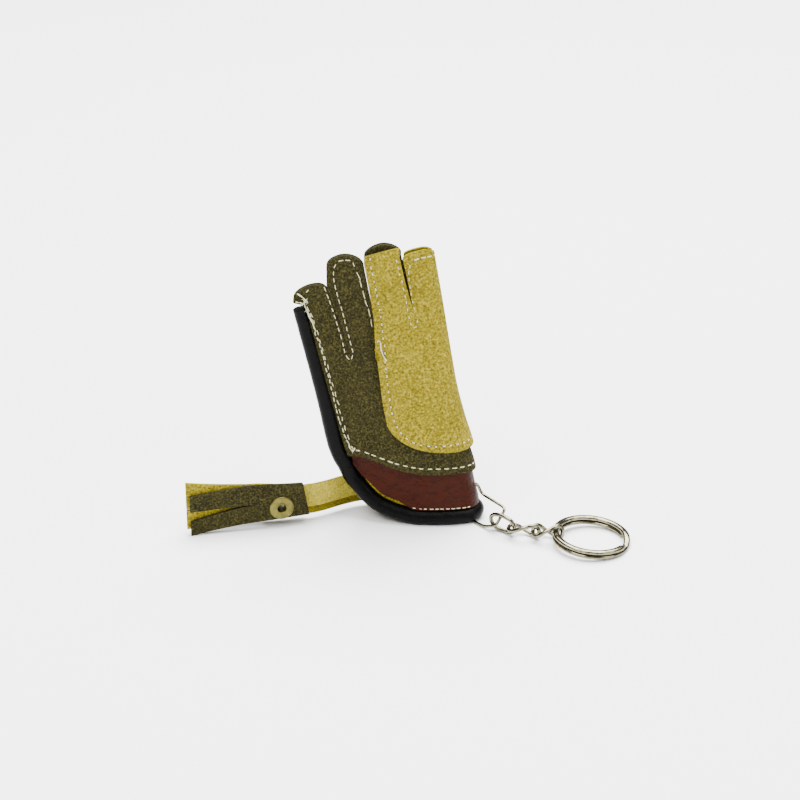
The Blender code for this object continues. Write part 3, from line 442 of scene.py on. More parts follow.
def depth(x, z):
    """Distance of the olive leather's middle surface from the glove's middle plane."""
    size = sizes()
    across = np.clip(to_across(x, z), 0, 1)
    left = 1 - (1 - np.minimum(across / CREST, 1)) ** 2
    right = (1 - np.clip((across - CREST) / (1 - CREST), 0, 1) ** PALM_ROUNDNESS) ** (1 / PALM_ROUNDNESS)
    blend = ease((z / size.height - LOBE_START) / (LOBE_END - LOBE_START))
    closing = np.sqrt(1 - np.clip((across - FOLD_START) / (1 - FOLD_START), 0, 1) ** 2)
    closed = (size.leather + size.gap) / 2
    half = closed + (size.seam_opening - closed) * outline(z, "opening")
    palm = size.cuff_depth * outline(z, "depth") * np.where(across < CREST, left, right)
    return half * closing + (1 - blend) * palm + blend * size.finger_bulge * lobes(across, z)


def front_points(across, z, offset):
    """Points of the front at the given places, moved out level until they are offset away from the
    surface."""
    x = to_plane(across, z)
    fold = across > 1 - EDGE
    slope_x = (depth(x + SLOPE_STEP, z) - depth(x - SLOPE_STEP, z)) / (2 * SLOPE_STEP)
    slope_z = (depth(x, z + SLOPE_STEP) - depth(x, z - SLOPE_STEP)) / (2 * SLOPE_STEP)
    lean = (fold_x(z + SLOPE_STEP) - fold_x(z - SLOPE_STEP)) / (2 * SLOPE_STEP)
    normal = np.stack([-slope_x, -np.ones_like(x), -slope_z], -1)
    normal[fold] = np.stack([np.ones_like(x), 0 * x, -lean], -1)[fold]
    normal /= np.linalg.norm(normal, axis=-1, keepdims=True)
    level = normal * (1, 1, 0)
    level /= (level ** 2).sum(axis=-1, keepdims=True)
    middle = np.where(fold, 0, -depth(x, z))
    return np.stack([x, middle, z], -1) + np.asarray(offset)[..., None] * level


def origin():
    """Where the drawing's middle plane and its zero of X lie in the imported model."""
    size = sizes()
    low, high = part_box("finger_patch")
    hem = size.height * PATCH_EDGE[-1][2]
    reach = fold_x(hem) + size.leather * 1.5 + size.gap + size.patch_play
    return np.array((high[0] - float(reach), (low[1] + high[1]) / 2, 0))


def between(levels, rows):
    """Grid of places whose columns run straight from each level to the next."""
    levels = np.asarray(levels)
    share = np.concatenate([k + np.arange(n) / n for k, n in enumerate(rows)] + [[len(rows)]])
    lower = np.minimum(share.astype(int), len(levels) - 2)
    t = (share - lower).reshape((-1,) + (1,) * (levels.ndim - 1))
    return levels[lower] * (1 - t) + levels[lower + 1] * t


def quads(rows, columns, first=0, around=False):
    """Corner numbers of the faces of a grid of points, closed across its columns where it goes around."""
    points = first + np.arange(rows * columns).reshape(rows, columns)
    if around:
        points = np.concatenate([points, points[:, :1]], axis=1)
    return np.stack([points[:-1, :-1], points[1:, :-1], points[1:, 1:], points[:-1, 1:]], -1).reshape(-1, 4)


def fill_mesh(name, points, faces):
    """Mesh from whole arrays of points and four-cornered faces."""
    mesh = bpy.data.meshes.new(name)
    mesh.vertices.add(len(points))
    mesh.vertices.foreach_set("co", np.ascontiguousarray(points, dtype=np.float32).ravel())
    mesh.loops.add(faces.size)
    mesh.loops.foreach_set("vertex_index", np.ascontiguousarray(faces, dtype=np.int32).ravel())
    mesh.polygons.add(len(faces))
    mesh.polygons.foreach_set("loop_start", np.arange(0, faces.size, faces.shape[1], dtype=np.int32))
    mesh.update(calc_edges=True)
    mesh.polygons.foreach_set("use_smooth", np.full(len(faces), True))
    mesh.validate()
    return mesh


def weld(mesh):
    """Merges doubles and turns the faces one way."""
    joined = bmesh.new()
    joined.from_mesh(mesh)
    bmesh.ops.remove_doubles(joined, verts=joined.verts, dist=WELD)
    bmesh.ops.recalc_face_normals(joined, faces=joined.faces)
    joined.to_mesh(mesh)
    joined.free()
    return mesh


def grids_mesh(name, grids):
    """One mesh from several grids of points, welded where they share an edge."""
    points, faces, first = [], [], 0
    for grid in grids:
        rows, columns = grid.shape[:2]
        points.append(grid.reshape(-1, 3))
        faces.append(quads(rows, columns, first))
        first += rows * columns
    return weld(fill_mesh(name, np.concatenate(points) + origin(), np.concatenate(faces)))


def put(tree, socket, value):
    """Links an output to a socket, or sets the socket itself."""
    if isinstance(value, bpy.types.NodeSocket):
        tree.links.new(value, socket)
    else:
        socket.default_value = value


def add(tree, kind, inputs=None, **settings):
    """Adds a node with its settings, and sets or links its inputs."""
    node = tree.nodes.new(kind)
    for key, value in settings.items():
        setattr(node, key, value)
    for key, value in (inputs or {}).items():
        put(tree, node.inputs[key], value)
    return node


def material(name):
    """New material: itself, its tree, its Principled shader and the object's coordinates."""
    made = bpy.data.materials.new(name)
    made.use_nodes = True
    tree = made.node_tree
    place = add(tree, "ShaderNodeTexCoord").outputs["Object"]
    return made, tree, tree.nodes["Principled BSDF"], place


def dress(tree, shader, looks):
    for key, value in looks.items():
        put(tree, shader.inputs[key], value)


def tinted(colour, share=1.0):
    """A colour socket's value: the colour, darker or lighter by a share."""
    return (*[share * part for part in colour[:3]], 1.0)


def blend_colours(tree, factor, first, second):
    """Mixes two colours by a factor."""
    return add(tree, "ShaderNodeMix", {0: factor, 6: first, 7: second}, data_type="RGBA").outputs[2]


def ramp(tree, factor, low, high, start=0.0, end=1.0):
    """Stretches a factor from low..high to start..end."""
    return add(tree, "ShaderNodeMapRange", {"Value": factor, "From Min": low, "From Max": high,
                                            "To Min": start, "To Max": end}).outputs["Result"]


def noise(tree, place, size, detail, roughness=0.5, distortion=0.0):
    """Soft cloud whose largest features have the given size."""
    return add(tree, "ShaderNodeTexNoise", {"Vector": place, "Scale": 1 / size, "Detail": detail,
                                            "Roughness": roughness, "Distortion": distortion}).outputs["Fac"]


def cells(tree, place, size):
    """Round grains of the given size."""
    return add(tree, "ShaderNodeTexVoronoi", {"Vector": place, "Scale": 1 / size}).outputs["Distance"]


def grained(tree, folds, share, grain):
    """Height of leather whose folds stand share times as high as its grain."""
    return add(tree, "ShaderNodeMath", {0: folds, 1: share, 2: grain}, operation="MULTIPLY_ADD").outputs[0]


def relief(tree, height, strength):
    """Normal of a surface with the given height, RELIEF deep."""
    bump = add(tree, "ShaderNodeBump", {"Height": height, "Strength": strength, "Distance": RELIEF})
    return bump.outputs["Normal"]


def suede(name, nap, shade, light, nap_size=0.62 * MM, patch_size=9 * MM):
    """Split leather, sanded to a nap: matt, with brushed patches, dark pits and light fibres in a fine
    speckle."""
    made, tree, shader, place = material(name)
    fibres = noise(tree, place, nap_size, 3.0, 0.65)
    brushed = noise(tree, place, patch_size, 4.0, 0.55)
    base = blend_colours(tree, ramp(tree, brushed, 0.42, 0.66, 0.0, 0.35), tinted(nap), tinted(shade))
    pitted = blend_colours(tree, ramp(tree, fibres, 0.34, 0.50, 1.0, 0.0), base, tinted(shade))
    dress(tree, shader, {
        "Base Color": blend_colours(tree, ramp(tree, fibres, 0.52, 0.68), pitted, tinted(light)),
        "Normal": relief(tree, fibres, 0.7),
        "Roughness": 0.95,
        "Specular IOR Level": 0.1,
    })
    return made


def olive_suede():
    """Olive split leather: a matt nap with darker brushed patches."""
    tint = colours()
    return suede("olive_suede", tint.olive, tint.olive_dark, tint.olive_light)


def olive_cut_edge():
    """Cut edge of the olive suede: its dyed core, rough and a little darker."""
    tint = colours()
    return suede("olive_suede_cut_edge", tinted(tint.olive, 0.85), tint.olive_dark, tint.olive)


def tan_nubuck():
    """Tan nubuck: grain leather, lightly buffed, with dark pores between raised grain."""
    tint = colours()
    return suede("tan_nubuck", tint.tan, tint.tan_dark, tint.tan_light, 0.70 * MM, 14 * MM)


def tan_cut_edge():
    """Cut edge of the tan leather: darker, with loose fibres."""
    tint = colours()
    return suede("tan_cut_edge", tinted(tint.tan, 0.8), tinted(tint.tan_dark, 0.7), tint.tan)


def tan_strap_front_painted_light():
    """Front layer of the strap: the same leather with painted light, paler than the rear layer."""
    tint = colours()
    fibres = tinted(tint.tan_light, 1.35)
    return suede("tan_strap_front_painted_light", tint.tan_light, tint.tan, fibres, patch_size=14 * MM)


def tan_strap_rear_painted_shade():
    """Rear layer of the strap: the same leather, darker with painted shade from the front one."""
    tint = colours()
    return suede("tan_strap_rear_painted_shade", tinted(tint.tan, 0.8), tint.tan_dark, tint.tan, patch_size=14 * MM)


def oxblood_leather():
    """Aniline-dyed smooth leather: a soft gloss, mottled dye and fine creases, darkened in the creases by
    painted shade.
    """
    tint = colours()
    made, tree, shader, place = material("oxblood_leather")
    mottle = noise(tree, place, 5 * MM, 5.0, 0.6)
    stretched = add(tree, "ShaderNodeMapping", {"Vector": place, "Scale": (0.45, 1.0, 1.5),
                                                "Rotation": (0.0, 0.35, 0.0)})
    crease = noise(tree, stretched.outputs["Vector"], 1.7 * MM, 4.0, distortion=1.0)
    dye = blend_colours(tree, ramp(tree, mottle, 0.36, 0.66), tinted(tint.oxblood), tinted(tint.oxblood, 1.2))
    # Painted shade: along the creases the band is darkened towards its crease colour
    fold = ramp(tree, ramp(tree, crease, 0.40, 0.60), 0.0, 0.4, 0.45, 0.0)
    dress(tree, shader, {
        "Base Color": blend_colours(tree, fold, dye, tinted(tint.oxblood_crease_shade)),
        "Normal": relief(tree, grained(tree, crease, 3.0, cells(tree, place, 0.55 * MM)), 0.6),
        "Roughness": ramp(tree, mottle, 0.3, 0.7, 0.38, 0.58),
        "Specular IOR Level": 0.06,
    })
    return made


def black_leather():
    """Black glove leather stretched over a soft cord: a fine grain and a broad dull gloss."""
    black = colours().black
    made, tree, shader, place = material("black_piping_leather")
    worn = noise(tree, place, 2.2 * MM, 5.0, 0.65)
    dress(tree, shader, {
        "Base Color": blend_colours(tree, ramp(tree, worn, 0.4, 0.75), tinted(black), tinted(black, 1.8)),
        "Normal": relief(tree, grained(tree, worn, 1.5, cells(tree, place, 0.6 * MM)), 0.55),
        "Roughness": ramp(tree, worn, 0.3, 0.7, 0.32, 0.48),
        "Specular IOR Level": 0.05,
    })
    return made


def cotton_thread():
    """Spun cotton thread, undyed: matt, with painted shade a little darker in patches between its turns."""
    thread = colours().thread
    made, tree, shader, place = material("cotton_thread")
    # Painted shade: darker patches that stand for the hollows between the turns
    painted_hollow_shade = ramp(tree, noise(tree, place, 0.5 * MM, 3.0), 0.35, 0.65, 0.45, 0.0)
    dress(tree, shader, {
        "Base Color": blend_colours(tree, painted_hollow_shade, tinted(thread), tinted(thread, 0.55)),
        "Roughness": 0.85,
        "Specular IOR Level": 0.2,
    })
    return made


def needle_hole_shade_paint():
    """Painted shade of a needle hole: dark and matt."""
    made, tree, shader, _ = material("needle_hole_painted_shade")
    dress(tree, shader, {"Base Color": tinted(colours().olive_dark, 0.22), "Roughness": 1.0})
    return made


def nickel_plate():
    """Nickel-plated steel wire, bright drawn: a warm mirror with faint draw marks."""
    nickel = colours().nickel
    made, tree, shader, place = material("nickel_plated_steel")
    cloud = noise(tree, place, 1.5 * MM, 3.0)
    dress(tree, shader, {
        "Base Color": blend_colours(tree, ramp(tree, cloud, 0.35, 0.7), tinted(nickel), tinted(nickel, 0.45)),
        "Roughness": ramp(tree, cloud, 0.3, 0.7, 0.08, 0.2),
        "Metallic": 1.0,
    })
    return made


def aged_brass():
    """Brass pressed to an eyelet and left to dull: soft gloss with darker stains."""
    brass = colours().brass
    made, tree, shader, place = material("aged_brass")
    stain = noise(tree, place, 1.6 * MM, 5.0, 0.65)
    dress(tree, shader, {
        "Base Color": blend_colours(tree, ramp(tree, stain, 0.42, 0.72), tinted(brass), tinted(brass, 0.62)),
        "Roughness": ramp(tree, stain, 0.3, 0.7, 0.32, 0.5),
        "Metallic": 0.9,
    })
    return made


def pale_table():
    """Matt pale laminate of the table, without a pattern."""
    made, tree, shader, _ = material("pale_laminate")
    dress(tree, shader, {"Base Color": tinted(colours().floor), "Roughness": 0.9, "Specular IOR Level": 0.1})
    return made


def once(maker):
    """The material of a maker function, made on its first use."""
    found = bpy.data.materials.get(maker.__name__ + "_ready")
    if found is None:
        found = maker()
        found.name = maker.__name__ + "_ready"
    return found


def piece(name, mesh, makers, nodes=()):
    """Adds a mesh as a glove piece with its materials under the root body, and hides its CAD nodes."""
    obj = bpy.data.objects.new(name, mesh)
    bpy.context.scene.collection.objects.link(obj)
    mesh.materials.clear()
    for maker in makers:
        mesh.materials.append(once(maker))
    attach(obj, "root")
    if nodes:
        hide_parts(*nodes)
    return obj


def leather_wall(obj):
    """Thickens a sheet evenly to both sides. Its rim takes the second material."""
    wall = obj.modifiers.new("Leather", "SOLIDIFY")
    wall.thickness = sizes().leather
    wall.offset = 0
    wall.use_quality_normals = True
    wall.material_offset_rim = 1
    soft = obj.modifiers.new("Soft edge", "BEVEL")
    soft.width = SOFT_EDGE
    soft.segments = 2
    soft.limit_method = "ANGLE"
    soft.angle_limit = SOFT_ANGLE
    return obj


def both_sides(blocks, offset, back=None):
    """Front grids of the given (across, height) blocks, and for the back the mirror images of the same or
    others."""
    front = [front_points(block[..., 0], sizes().height * block[..., 1], offset) for block in blocks]
    rear = [front_points(block[..., 0], sizes().height * block[..., 1], offset) for block in back or blocks]
    return front + [grid * (1, -1, 1) for grid in rear]


def spread(count):
    """Shares from 0 to 1, closer together towards both ends."""
    return (1 - np.cos(np.linspace(0, math.pi, count))) / 2


def finger_shares(number):
    """Shares across a finger; the index finger has more of them round its fold."""
    if number < len(SLITS):
        return spread(22)
    return np.sin(np.linspace(0, math.pi / 2, 46))


def slit_edge(number, z, side, leather):
    """Share across of a slit's left (-1) or right (1) edge. The slit closes towards its crotch."""
    size = sizes()
    above = z - size.height * SLITS[number][SLIT_COLUMNS.index("crotch_height")]
    taper = size.slit_taper * (1 if leather == "olive" else 2)
    half = SLIT_WIDTHS[leather][number] / 2 * np.clip(above / taper, 0, 1)
    return slit_across(SLITS[number], z) + side * half / (fold_x(z) - seam_x(z))


def left_edge(number, z, leather):
    """Share across of a finger's left edge. The little finger's steps out over the piping's end."""
    if number:
        return slit_edge(number - 1, z, 1, leather)
    step = ease((z / sizes().height - NOTCH[0]) / (NOTCH[1] - NOTCH[0]))
    return step * to_across(sizes().span * LITTLE_EDGE, z)


def right_edge(number, z, leather):
    return slit_edge(number, z, -1, leather) if number < len(SLITS) else np.ones_like(z)


def finger_places(number, heights, leather="olive"):
    """Places of a finger at the given heights, spread between its two edges."""
    z = sizes().height * heights
    left, right = left_edge(number, z, leather), right_edge(number, z, leather)
    return np.stack([left + finger_shares(number) * (right - left), heights], -1)


def base_heights(number):
    """Heights along a finger's base, from crotch to crotch."""
    heights = column(SLITS, SLIT_COLUMNS, "crotch_height")
    ends = [heights[0]] + heights + [heights[-1]]
    return ends[number] + finger_shares(number) * (ends[number + 1] - ends[number])


def base_level(number):
    return finger_places(number, base_heights(number))


def finger_block(number, row, leather="olive"):
    """Rows of places from a fingertip past its seam to the finger's base."""
    tip = crown(row, finger_shares(number))
    seam = tip - (sizes().tip_seam + sizes().tip_length) / sizes().height
    return finger_places(number, between([tip, seam, base_heights(number)], (24, 28)), leather)


def little_block():
    """The little finger, with a level where it steps out over the piping's end."""
    tip = crown(FINGERS[0], finger_shares(0))
    step = np.full_like(tip, NOTCH[0])
    return finger_places(0, between([tip, step, base_heights(0)], (26, 28)))


def hem_line(across):
    heights = smooth(across, column(PANEL_HEM, PANEL_HEM_COLUMNS, "across"),
                     column(PANEL_HEM, PANEL_HEM_COLUMNS, "height"))
    return np.stack([across, heights], -1)


def shell_mesh():
    """Front: each finger runs straight from its crown to its base and the palm from there to the hem. The
    back is the mirror image, joined at the fold."""
    bases = [base_level(number) for number in range(len(FINGERS))]
    top = np.concatenate([bases[0]] + [base[1:] for base in bases[1:]])
    palm = between([top, hem_line(top[:, 0])], (60,))
    fingers = [little_block()] + [finger_block(n, FINGERS[n]) for n in range(1, len(FINGERS))]
    return grids_mesh("glove_shell", both_sides(fingers + [palm], 0))


def patch_edge(share):
    """Lower edge of the patch, from its left corner to the fold, as (across, height)."""
    places = column(PATCH_EDGE, PATCH_EDGE_COLUMNS, "share")
    return np.stack([smooth(share, places, column(PATCH_EDGE, PATCH_EDGE_COLUMNS, name))
                     for name in ("across", "height")], -1)


def patch_mesh():
    """Front: two fingers, then straight rows to the waist and on to the rounded lower edge, mirrored for
    the back."""
    size = sizes()
    top = np.concatenate([base_level(2), base_level(3)[1:]])
    share = (top[:, 0] - top[0, 0]) / (1 - top[0, 0])
    across, height = PATCH_WAIST
    waist = np.stack([across + share * (1 - across), np.full_like(share, height)], -1)
    palm = between([top, waist, patch_edge(share)], (20, 44))
    offset = size.leather + size.gap + size.patch_play
    front, back = ([finger_block(2 + n, row, "tan") for n, row in enumerate(rows)] + [palm]
                   for rows in (PATCH_FINGERS, PATCH_BACK_FINGERS))
    return grids_mesh("finger_patch", both_sides(front, offset, back))


def hem_height():
    return sizes().piping_hem - sizes().piping_flat


def hem_centre(share):
    """Centre line of the piping in the front view, from its lowest left point to the fold, as (x, z)."""
    size = sizes()
    spans = column(HEM, HEM_COLUMNS, "span") + [float(fold_x(hem_height())) / size.span]
    rises = column(HEM, HEM_COLUMNS, "rise") + [0.0]
    steps = np.hypot(np.diff(spans), np.diff(rises))
    places = np.concatenate([[0], np.cumsum(steps)]) / steps.sum()
    return np.stack([size.span * smooth(share, places, spans),
                     hem_height() + size.height * smooth(share, places, rises)], -1)


def along_hem(share, distance):
    """Places at a distance above the piping's centre line, measured square to it, as (across, height)."""
    line = hem_centre(share)
    run = hem_centre(np.minimum(share + 0.01, 1)) - hem_centre(np.maximum(share - 0.01, 0))
    run /= np.linalg.norm(run, axis=-1, keepdims=True)
    x = line[:, 0] - run[:, 1] * distance
    z = line[:, 1] + run[:, 0] * distance
    across = np.where(share > 1 - EDGE, 1, np.clip(to_across(x, z), 0, 1 - 2 * EDGE))
    return np.stack([across, z / sizes().height], -1)


def hem_shares(count, start=0.0):
    """Shares along the hem, closer together towards the fold."""
    return start + (1 - start) * np.sin(np.linspace(0, math.pi / 2, count))


def band_grids():
    """Rows run from under the olive hem to the lower edge. Towards the left that edge lifts clear of the
    piping and curls out a little; soft creases run down from the hem."""
    size = sizes()
    share = hem_shares(90)
    lift = (size.band_relief + BAND_LIFT) * np.clip(share / 0.12, 0, 1)
    lift *= np.clip((BAND_FREE - share) / 0.1, 0, 1)
    lower = along_hem(share, size.piping_hem + size.gap * np.clip(share / 0.06 - 1, -1, 1) + lift)
    upper = hem_line(lower[:, 0]) + (0, size.band_overlap / size.height)
    places = between([upper, lower], (30,))
    down = np.linspace(0, 1, 31)[:, None]
    free = np.clip((BAND_FREE - share) / 0.2, 0, 1)[None, :]
    curl = BAND_CURL * free * ease((down - 0.55) / 0.45)
    x = to_plane(places[..., 0], size.height * places[..., 1])
    away = np.clip((1 - places[..., 0]) / 0.2, 0, 1)
    waves = np.sin(x / (1.9 * MM) + 3 * down) * np.sin(x / (5.3 * MM))
    crease = BAND_CREASE * waves * ease(down / 0.4) * away
    below = ease((down - 0.25) / 0.3)
    offset = -(size.leather + size.gap) + (curl + crease) * below
    front = front_points(places[..., 0], size.height * places[..., 1], offset)
    return [front, front * (1, -1, 1)]


def lining_grids():
    """Two rows of places beside the piping, on the inner layer's surface."""
    size = sizes()
    share = hem_shares(80, 0.02)
    lower = along_hem(share, size.piping_hem + size.gap)
    upper = along_hem(share, size.piping_hem + size.gap + size.lining)
    return both_sides([between([upper, lower], (8,))], -2 * (size.leather + size.gap))


def hem_path(share):
    """Piping's centre line at shares of the front hem, from the seam's lower end to the fold."""
    line = hem_centre(share)
    across = np.where(share > 1 - EDGE, 1, np.clip(to_across(line[:, 0], line[:, 1]), 0, 1))
    offset = -1.5 * (sizes().leather + sizes().gap)
    points = front_points(across, line[:, 1], offset)
    points[:, 2] = line[:, 1]
    points[:, 0] = np.where(across > 0, points[:, 0], line[:, 0])
    points[:, 1] *= np.clip(share / 0.12, 0, 1)
    return points


def seam_path(count):
    """Piping's centre line down the left seam, and its radius there."""
    size = sizes()
    last = (hem_height() + size.height * HEM[0][1], size.span * HEM[0][0], size.piping_hem + PIPING_FULL)
    z, x, radius = (np.array([*(MM * value for value in column(SIDE, SIDE_COLUMNS, name)), last[k]])
                    for k, name in enumerate(SIDE_COLUMNS))
    height = np.linspace(z[0], z[-1], count)
    line = smooth(height, z[::-1], x[::-1])
    return np.stack([line, 0 * line, height], -1), smooth(height, z[::-1], radius[::-1])


def hem_radius(share):
    """The piping is a little fuller where it leaves the seam."""
    return sizes().piping_hem + PIPING_FULL * (1 - ease((share - 0.25) / 0.25))


def even_steps(points, values, count):
    """The same path with points evenly spaced along its length, smoothed a little, and values carried
    along."""
    runs = np.linalg.norm(np.diff(points, axis=0), axis=1)
    places = np.concatenate([[0], np.cumsum(runs)])
    even = np.linspace(0, places[-1], count)
    path = along(points, places, even)
    for _ in range(40):
        path[1:-1] = (path[:-2] + 2 * path[1:-1] + path[2:]) / 4
    return path, np.interp(even, places, values)


def frames(path):
    """Two directions square to a path that turn as little as possible along it."""
    ahead = np.gradient(path, axis=0)
    ahead /= np.linalg.norm(ahead, axis=1, keepdims=True)
    side = np.zeros_like(path)
    start = np.cross(ahead[0], (0, 1, 0) if abs(ahead[0][1]) < 0.9 else (1, 0, 0))
    side[0] = start / np.linalg.norm(start)
    for k in range(1, len(path)):
        turned = side[k - 1] - ahead[k] * (side[k - 1] @ ahead[k])
        side[k] = turned / np.linalg.norm(turned)
    return side, np.cross(ahead, side)


def sweep(path, radii, sides, closed=False):
    """Round section carried along a path: centre + radius * (cos * side + sin * up). A closed path's last
    ring is joined to its first, with the turn shared out along it; an open one ends in flat caps with a
    rounded rim."""
    if closed:
        path = np.concatenate([path, path[:1]])
        radii = np.concatenate([radii, radii[:1]])
    side, up = frames(path)
    turn = np.linspace(0, TAU, sides, endpoint=False)
    twist = np.zeros(len(path))
    if closed:
        end = math.atan2(side[0] @ up[-1], side[0] @ side[-1])
        twist = np.linspace(0, end, len(path))
    angle = turn[None, :] + twist[:, None]
    ring = np.cos(angle)[..., None] * side[:, None] + np.sin(angle)[..., None] * up[:, None]
    if closed:
        return (path[:, None] + radii[:, None, None] * ring)[:-1], True
    rings = path[:, None] + radii[:, None, None] * ring
    start = path[0] + radii[0] * END_RINGS[:, None, None] * ring[0]
    stop = path[-1] + radii[-1] * END_RINGS[::-1, None, None] * ring[-1]
    return np.concatenate([start, rings[1:-1], stop]), False


def tube_mesh(name, grids):
    """Closed tubes from sweep's grids, as one mesh with welded poles."""
    points, faces, first = [], [], 0
    for grid, closed in grids:
        rows, columns = grid.shape[:2]
        points.append(grid.reshape(-1, 3))
        faces.append(quads(rows, columns, first, around=True))
        if closed:
            last = first + (rows - 1) * columns + np.arange(columns)
            start = first + np.arange(columns)
            faces.append(np.stack([last, start, np.roll(start, -1), np.roll(last, -1)], -1))
        first += rows * columns
    return weld(fill_mesh(name, np.concatenate(points) + origin(), np.concatenate(faces)))


def rounded(points, radius, steps=7):
    """Closed path through straight runs with a round bend at each corner."""
    points = [Vector(p) for p in points]
    path = []
    for before, corner, after in zip(points[-1:] + points[:-1], points, points[1:] + points[:1]):
        back, ahead = before - corner, after - corner
        reach = min(radius, back.length * 0.45, ahead.length * 0.45)
        start, end = corner + back.normalized() * reach, corner + ahead.normalized() * reach
        for t in np.linspace(0, 1, steps):
            path.append(start * (1 - t) ** 2 + corner * 2 * t * (1 - t) + end * t ** 2)
    return np.array(path)


def triangle_corners():
    """Corners of the wire ring: outside the fold, at the chain, on the floor, under the piping and in the
    cuff."""
    size = sizes()
    layer = size.leather + size.gap
    eye = Vector((float(fold_x(size.triangle_eye)) - layer, -size.triangle_inset, size.triangle_eye))
    outer = []
    for row in TRIANGLE:
        corner = named(TRIANGLE_COLUMNS, row)
        outer.append(eye + size.triangle_side * Vector((corner["right"], corner["back"], corner["up"])))
    fold = float(fold_x(hem_height()))
    inside = fold - 1.5 * layer - size.piping_hem - size.triangle_wire - 2 * size.gap
    floor = size.triangle_wire / 2 + size.gap / 3
    half = size.cuff_depth + size.seam_opening
    return (
        eye + Vector((layer, 0, -size.triangle_wire / 2)),
        *outer,
        Vector((fold + size.gap, -half - size.triangle_wire, floor)),
        Vector((inside, -2 * size.triangle_inset, floor)),
        Vector((inside, -size.triangle_inset, eye.z)),
    )


def dense(path, step):
    """A closed path with points no further apart than step."""
    closed = np.concatenate([path, path[:1]])
    runs = np.linalg.norm(np.diff(closed, axis=0), axis=1)
    places = np.concatenate([[0], np.cumsum(runs)])
    even = np.linspace(0, places[-1], int(places[-1] / step), endpoint=False)
    return along(closed, places, even)


def triangle_path():
    return dense(rounded(triangle_corners(), sizes().triangle_bend), 0.35 * MM)


def press_in(points, centres, wire):
    """Moves the roll's points towards its centre line where the wire is pressed into it."""
    reach = sizes().triangle_wire / 2 + 0.06 * MM
    for _ in range(12):
        gap = np.linalg.norm(points[:, :, None] - wire[None, None], axis=-1).min(axis=-1)
        near = np.clip(reach * 1.3 - gap, 0, None)[..., None]
        inward = centres - points
        inward /= np.maximum(np.linalg.norm(inward, axis=-1, keepdims=True), 1e-6)
        points = points + inward * near * 0.7
    return points


def roll_grid(points, radii, count, sides):
    """Padded roll: a round section along a path, with shallow puckers of 2 per cent that lean round it."""
    path, radii = even_steps(points, radii, count)
    grid, _ = sweep(path, radii, sides)
    caps = len(END_RINGS) - 1
    centres = np.concatenate([np.repeat(path[:1], caps, 0), path, np.repeat(path[-1:], caps, 0)])[:, None]
    place = np.arange(len(grid))[:, None] * (np.linalg.norm(np.diff(path, axis=0), axis=1).mean())
    angle = np.linspace(0, TAU, sides, endpoint=False)[None]
    pucker = np.sin(place / (0.9 * MM) + 2 * np.sin(angle)) * np.sin(place / (3.7 * MM) + angle)
    pucker += 0.8 * np.sin(place / (6.1 * MM) - 2 * angle)
    grid = centres + (grid - centres) * (1 + PUCKER * pucker[..., None])
    grid = press_in(grid, centres, triangle_path()[::2])
    grid[..., 2] = np.maximum(grid[..., 2], 0)
    grid[:caps + 1, :, 2] -= 0.05 * MM
    return grid


def tassel_start():
    """Right end of the strap, which lies flat against the rear hem's piping."""
    path = hem_path(np.linspace(0, 1, 78)) * (1, -1, 1)
    place = np.argmin(np.abs(path[:, 0]))
    return path[place, 0], path[place, 1] + sizes().piping_hem + sizes().gap + sizes().leather / 2


def tassel_route(places):
    """Plan view of the tassel's middle line: its points and left-hand normals at the given lengths."""
    size = sizes()
    reach = max(column(TASSEL_LAYERS, TASSEL_COLUMNS, "reach"))
    marks = np.linspace(0, size.strap_length + size.tassel_head + size.tassel_fringe * reach, 200)
    turn = np.radians(smooth(marks / marks[-1], column(HEADINGS, HEADING_COLUMNS, "length"),
                             column(HEADINGS, HEADING_COLUMNS, "heading")))
    start = tassel_start()
    x = start[0] - np.concatenate([[0], np.cumsum(np.cos(turn[:-1]) * marks[1])])
    y = start[1] - np.concatenate([[0], np.cumsum(np.sin(turn[:-1]) * marks[1])])
    angle = np.interp(places, marks, turn)
    return (np.stack([np.interp(places, marks, x), np.interp(places, marks, y)], -1),
            np.stack([np.sin(angle), -np.cos(angle)], -1))


def upright(places, offset, low, high, shares):
    """Grid of a strip that stands on edge: along the route, moved to the front by offset."""
    points, normals = tassel_route(places)
    plan = points[:, None] + normals[:, None] * offset[..., None]
    z = low[:, None] + (high - low)[:, None] * shares
    return np.concatenate([plan, z[..., None]], -1)


def eyelet_frame():
    """Centre of the eyelet in the middle of the tassel's stack, and the direction to its front."""
    size = sizes()
    points, normals = tassel_route(np.array([size.strap_length + 0.52 * size.tassel_head]))
    centre = Vector((*points[0], size.tassel_height * 0.39)) + Vector(origin())
    return centre, Vector((*normals[0], 0))


def eyelet_cut(obj):
    """Cuts the eyelet's hole through a layer, with a round cutter whose result is kept in the mesh."""
    size = sizes()
    centre, front = eyelet_frame()
    bpy.ops.mesh.primitive_cylinder_add(vertices=32, radius=size.eyelet_hole + size.eyelet_wall + 0.1 * MM,
                                        depth=size.tassel_head)
    cutter = bpy.context.object
    cutter.location = centre
    cutter.rotation_euler = front.to_track_quat("Z", "Y").to_euler()
    cut = obj.modifiers.new("Eyelet hole", "BOOLEAN")
    cut.operation = "DIFFERENCE"
    cut.solver = "EXACT"
    cut.object = cutter
    keep_result(obj)
    bpy.data.objects.remove(cutter)
    return obj


def keep_result(obj):
    """Replaces a piece's mesh by what its modifiers give, and removes them."""
    bpy.context.view_layer.update()
    seen = obj.evaluated_get(bpy.context.evaluated_depsgraph_get())
    mesh = bpy.data.meshes.new_from_object(seen)
    old = obj.data
    obj.modifiers.clear()
    obj.data = mesh
    mesh.name = old.name
    bpy.data.meshes.remove(old)
    return obj


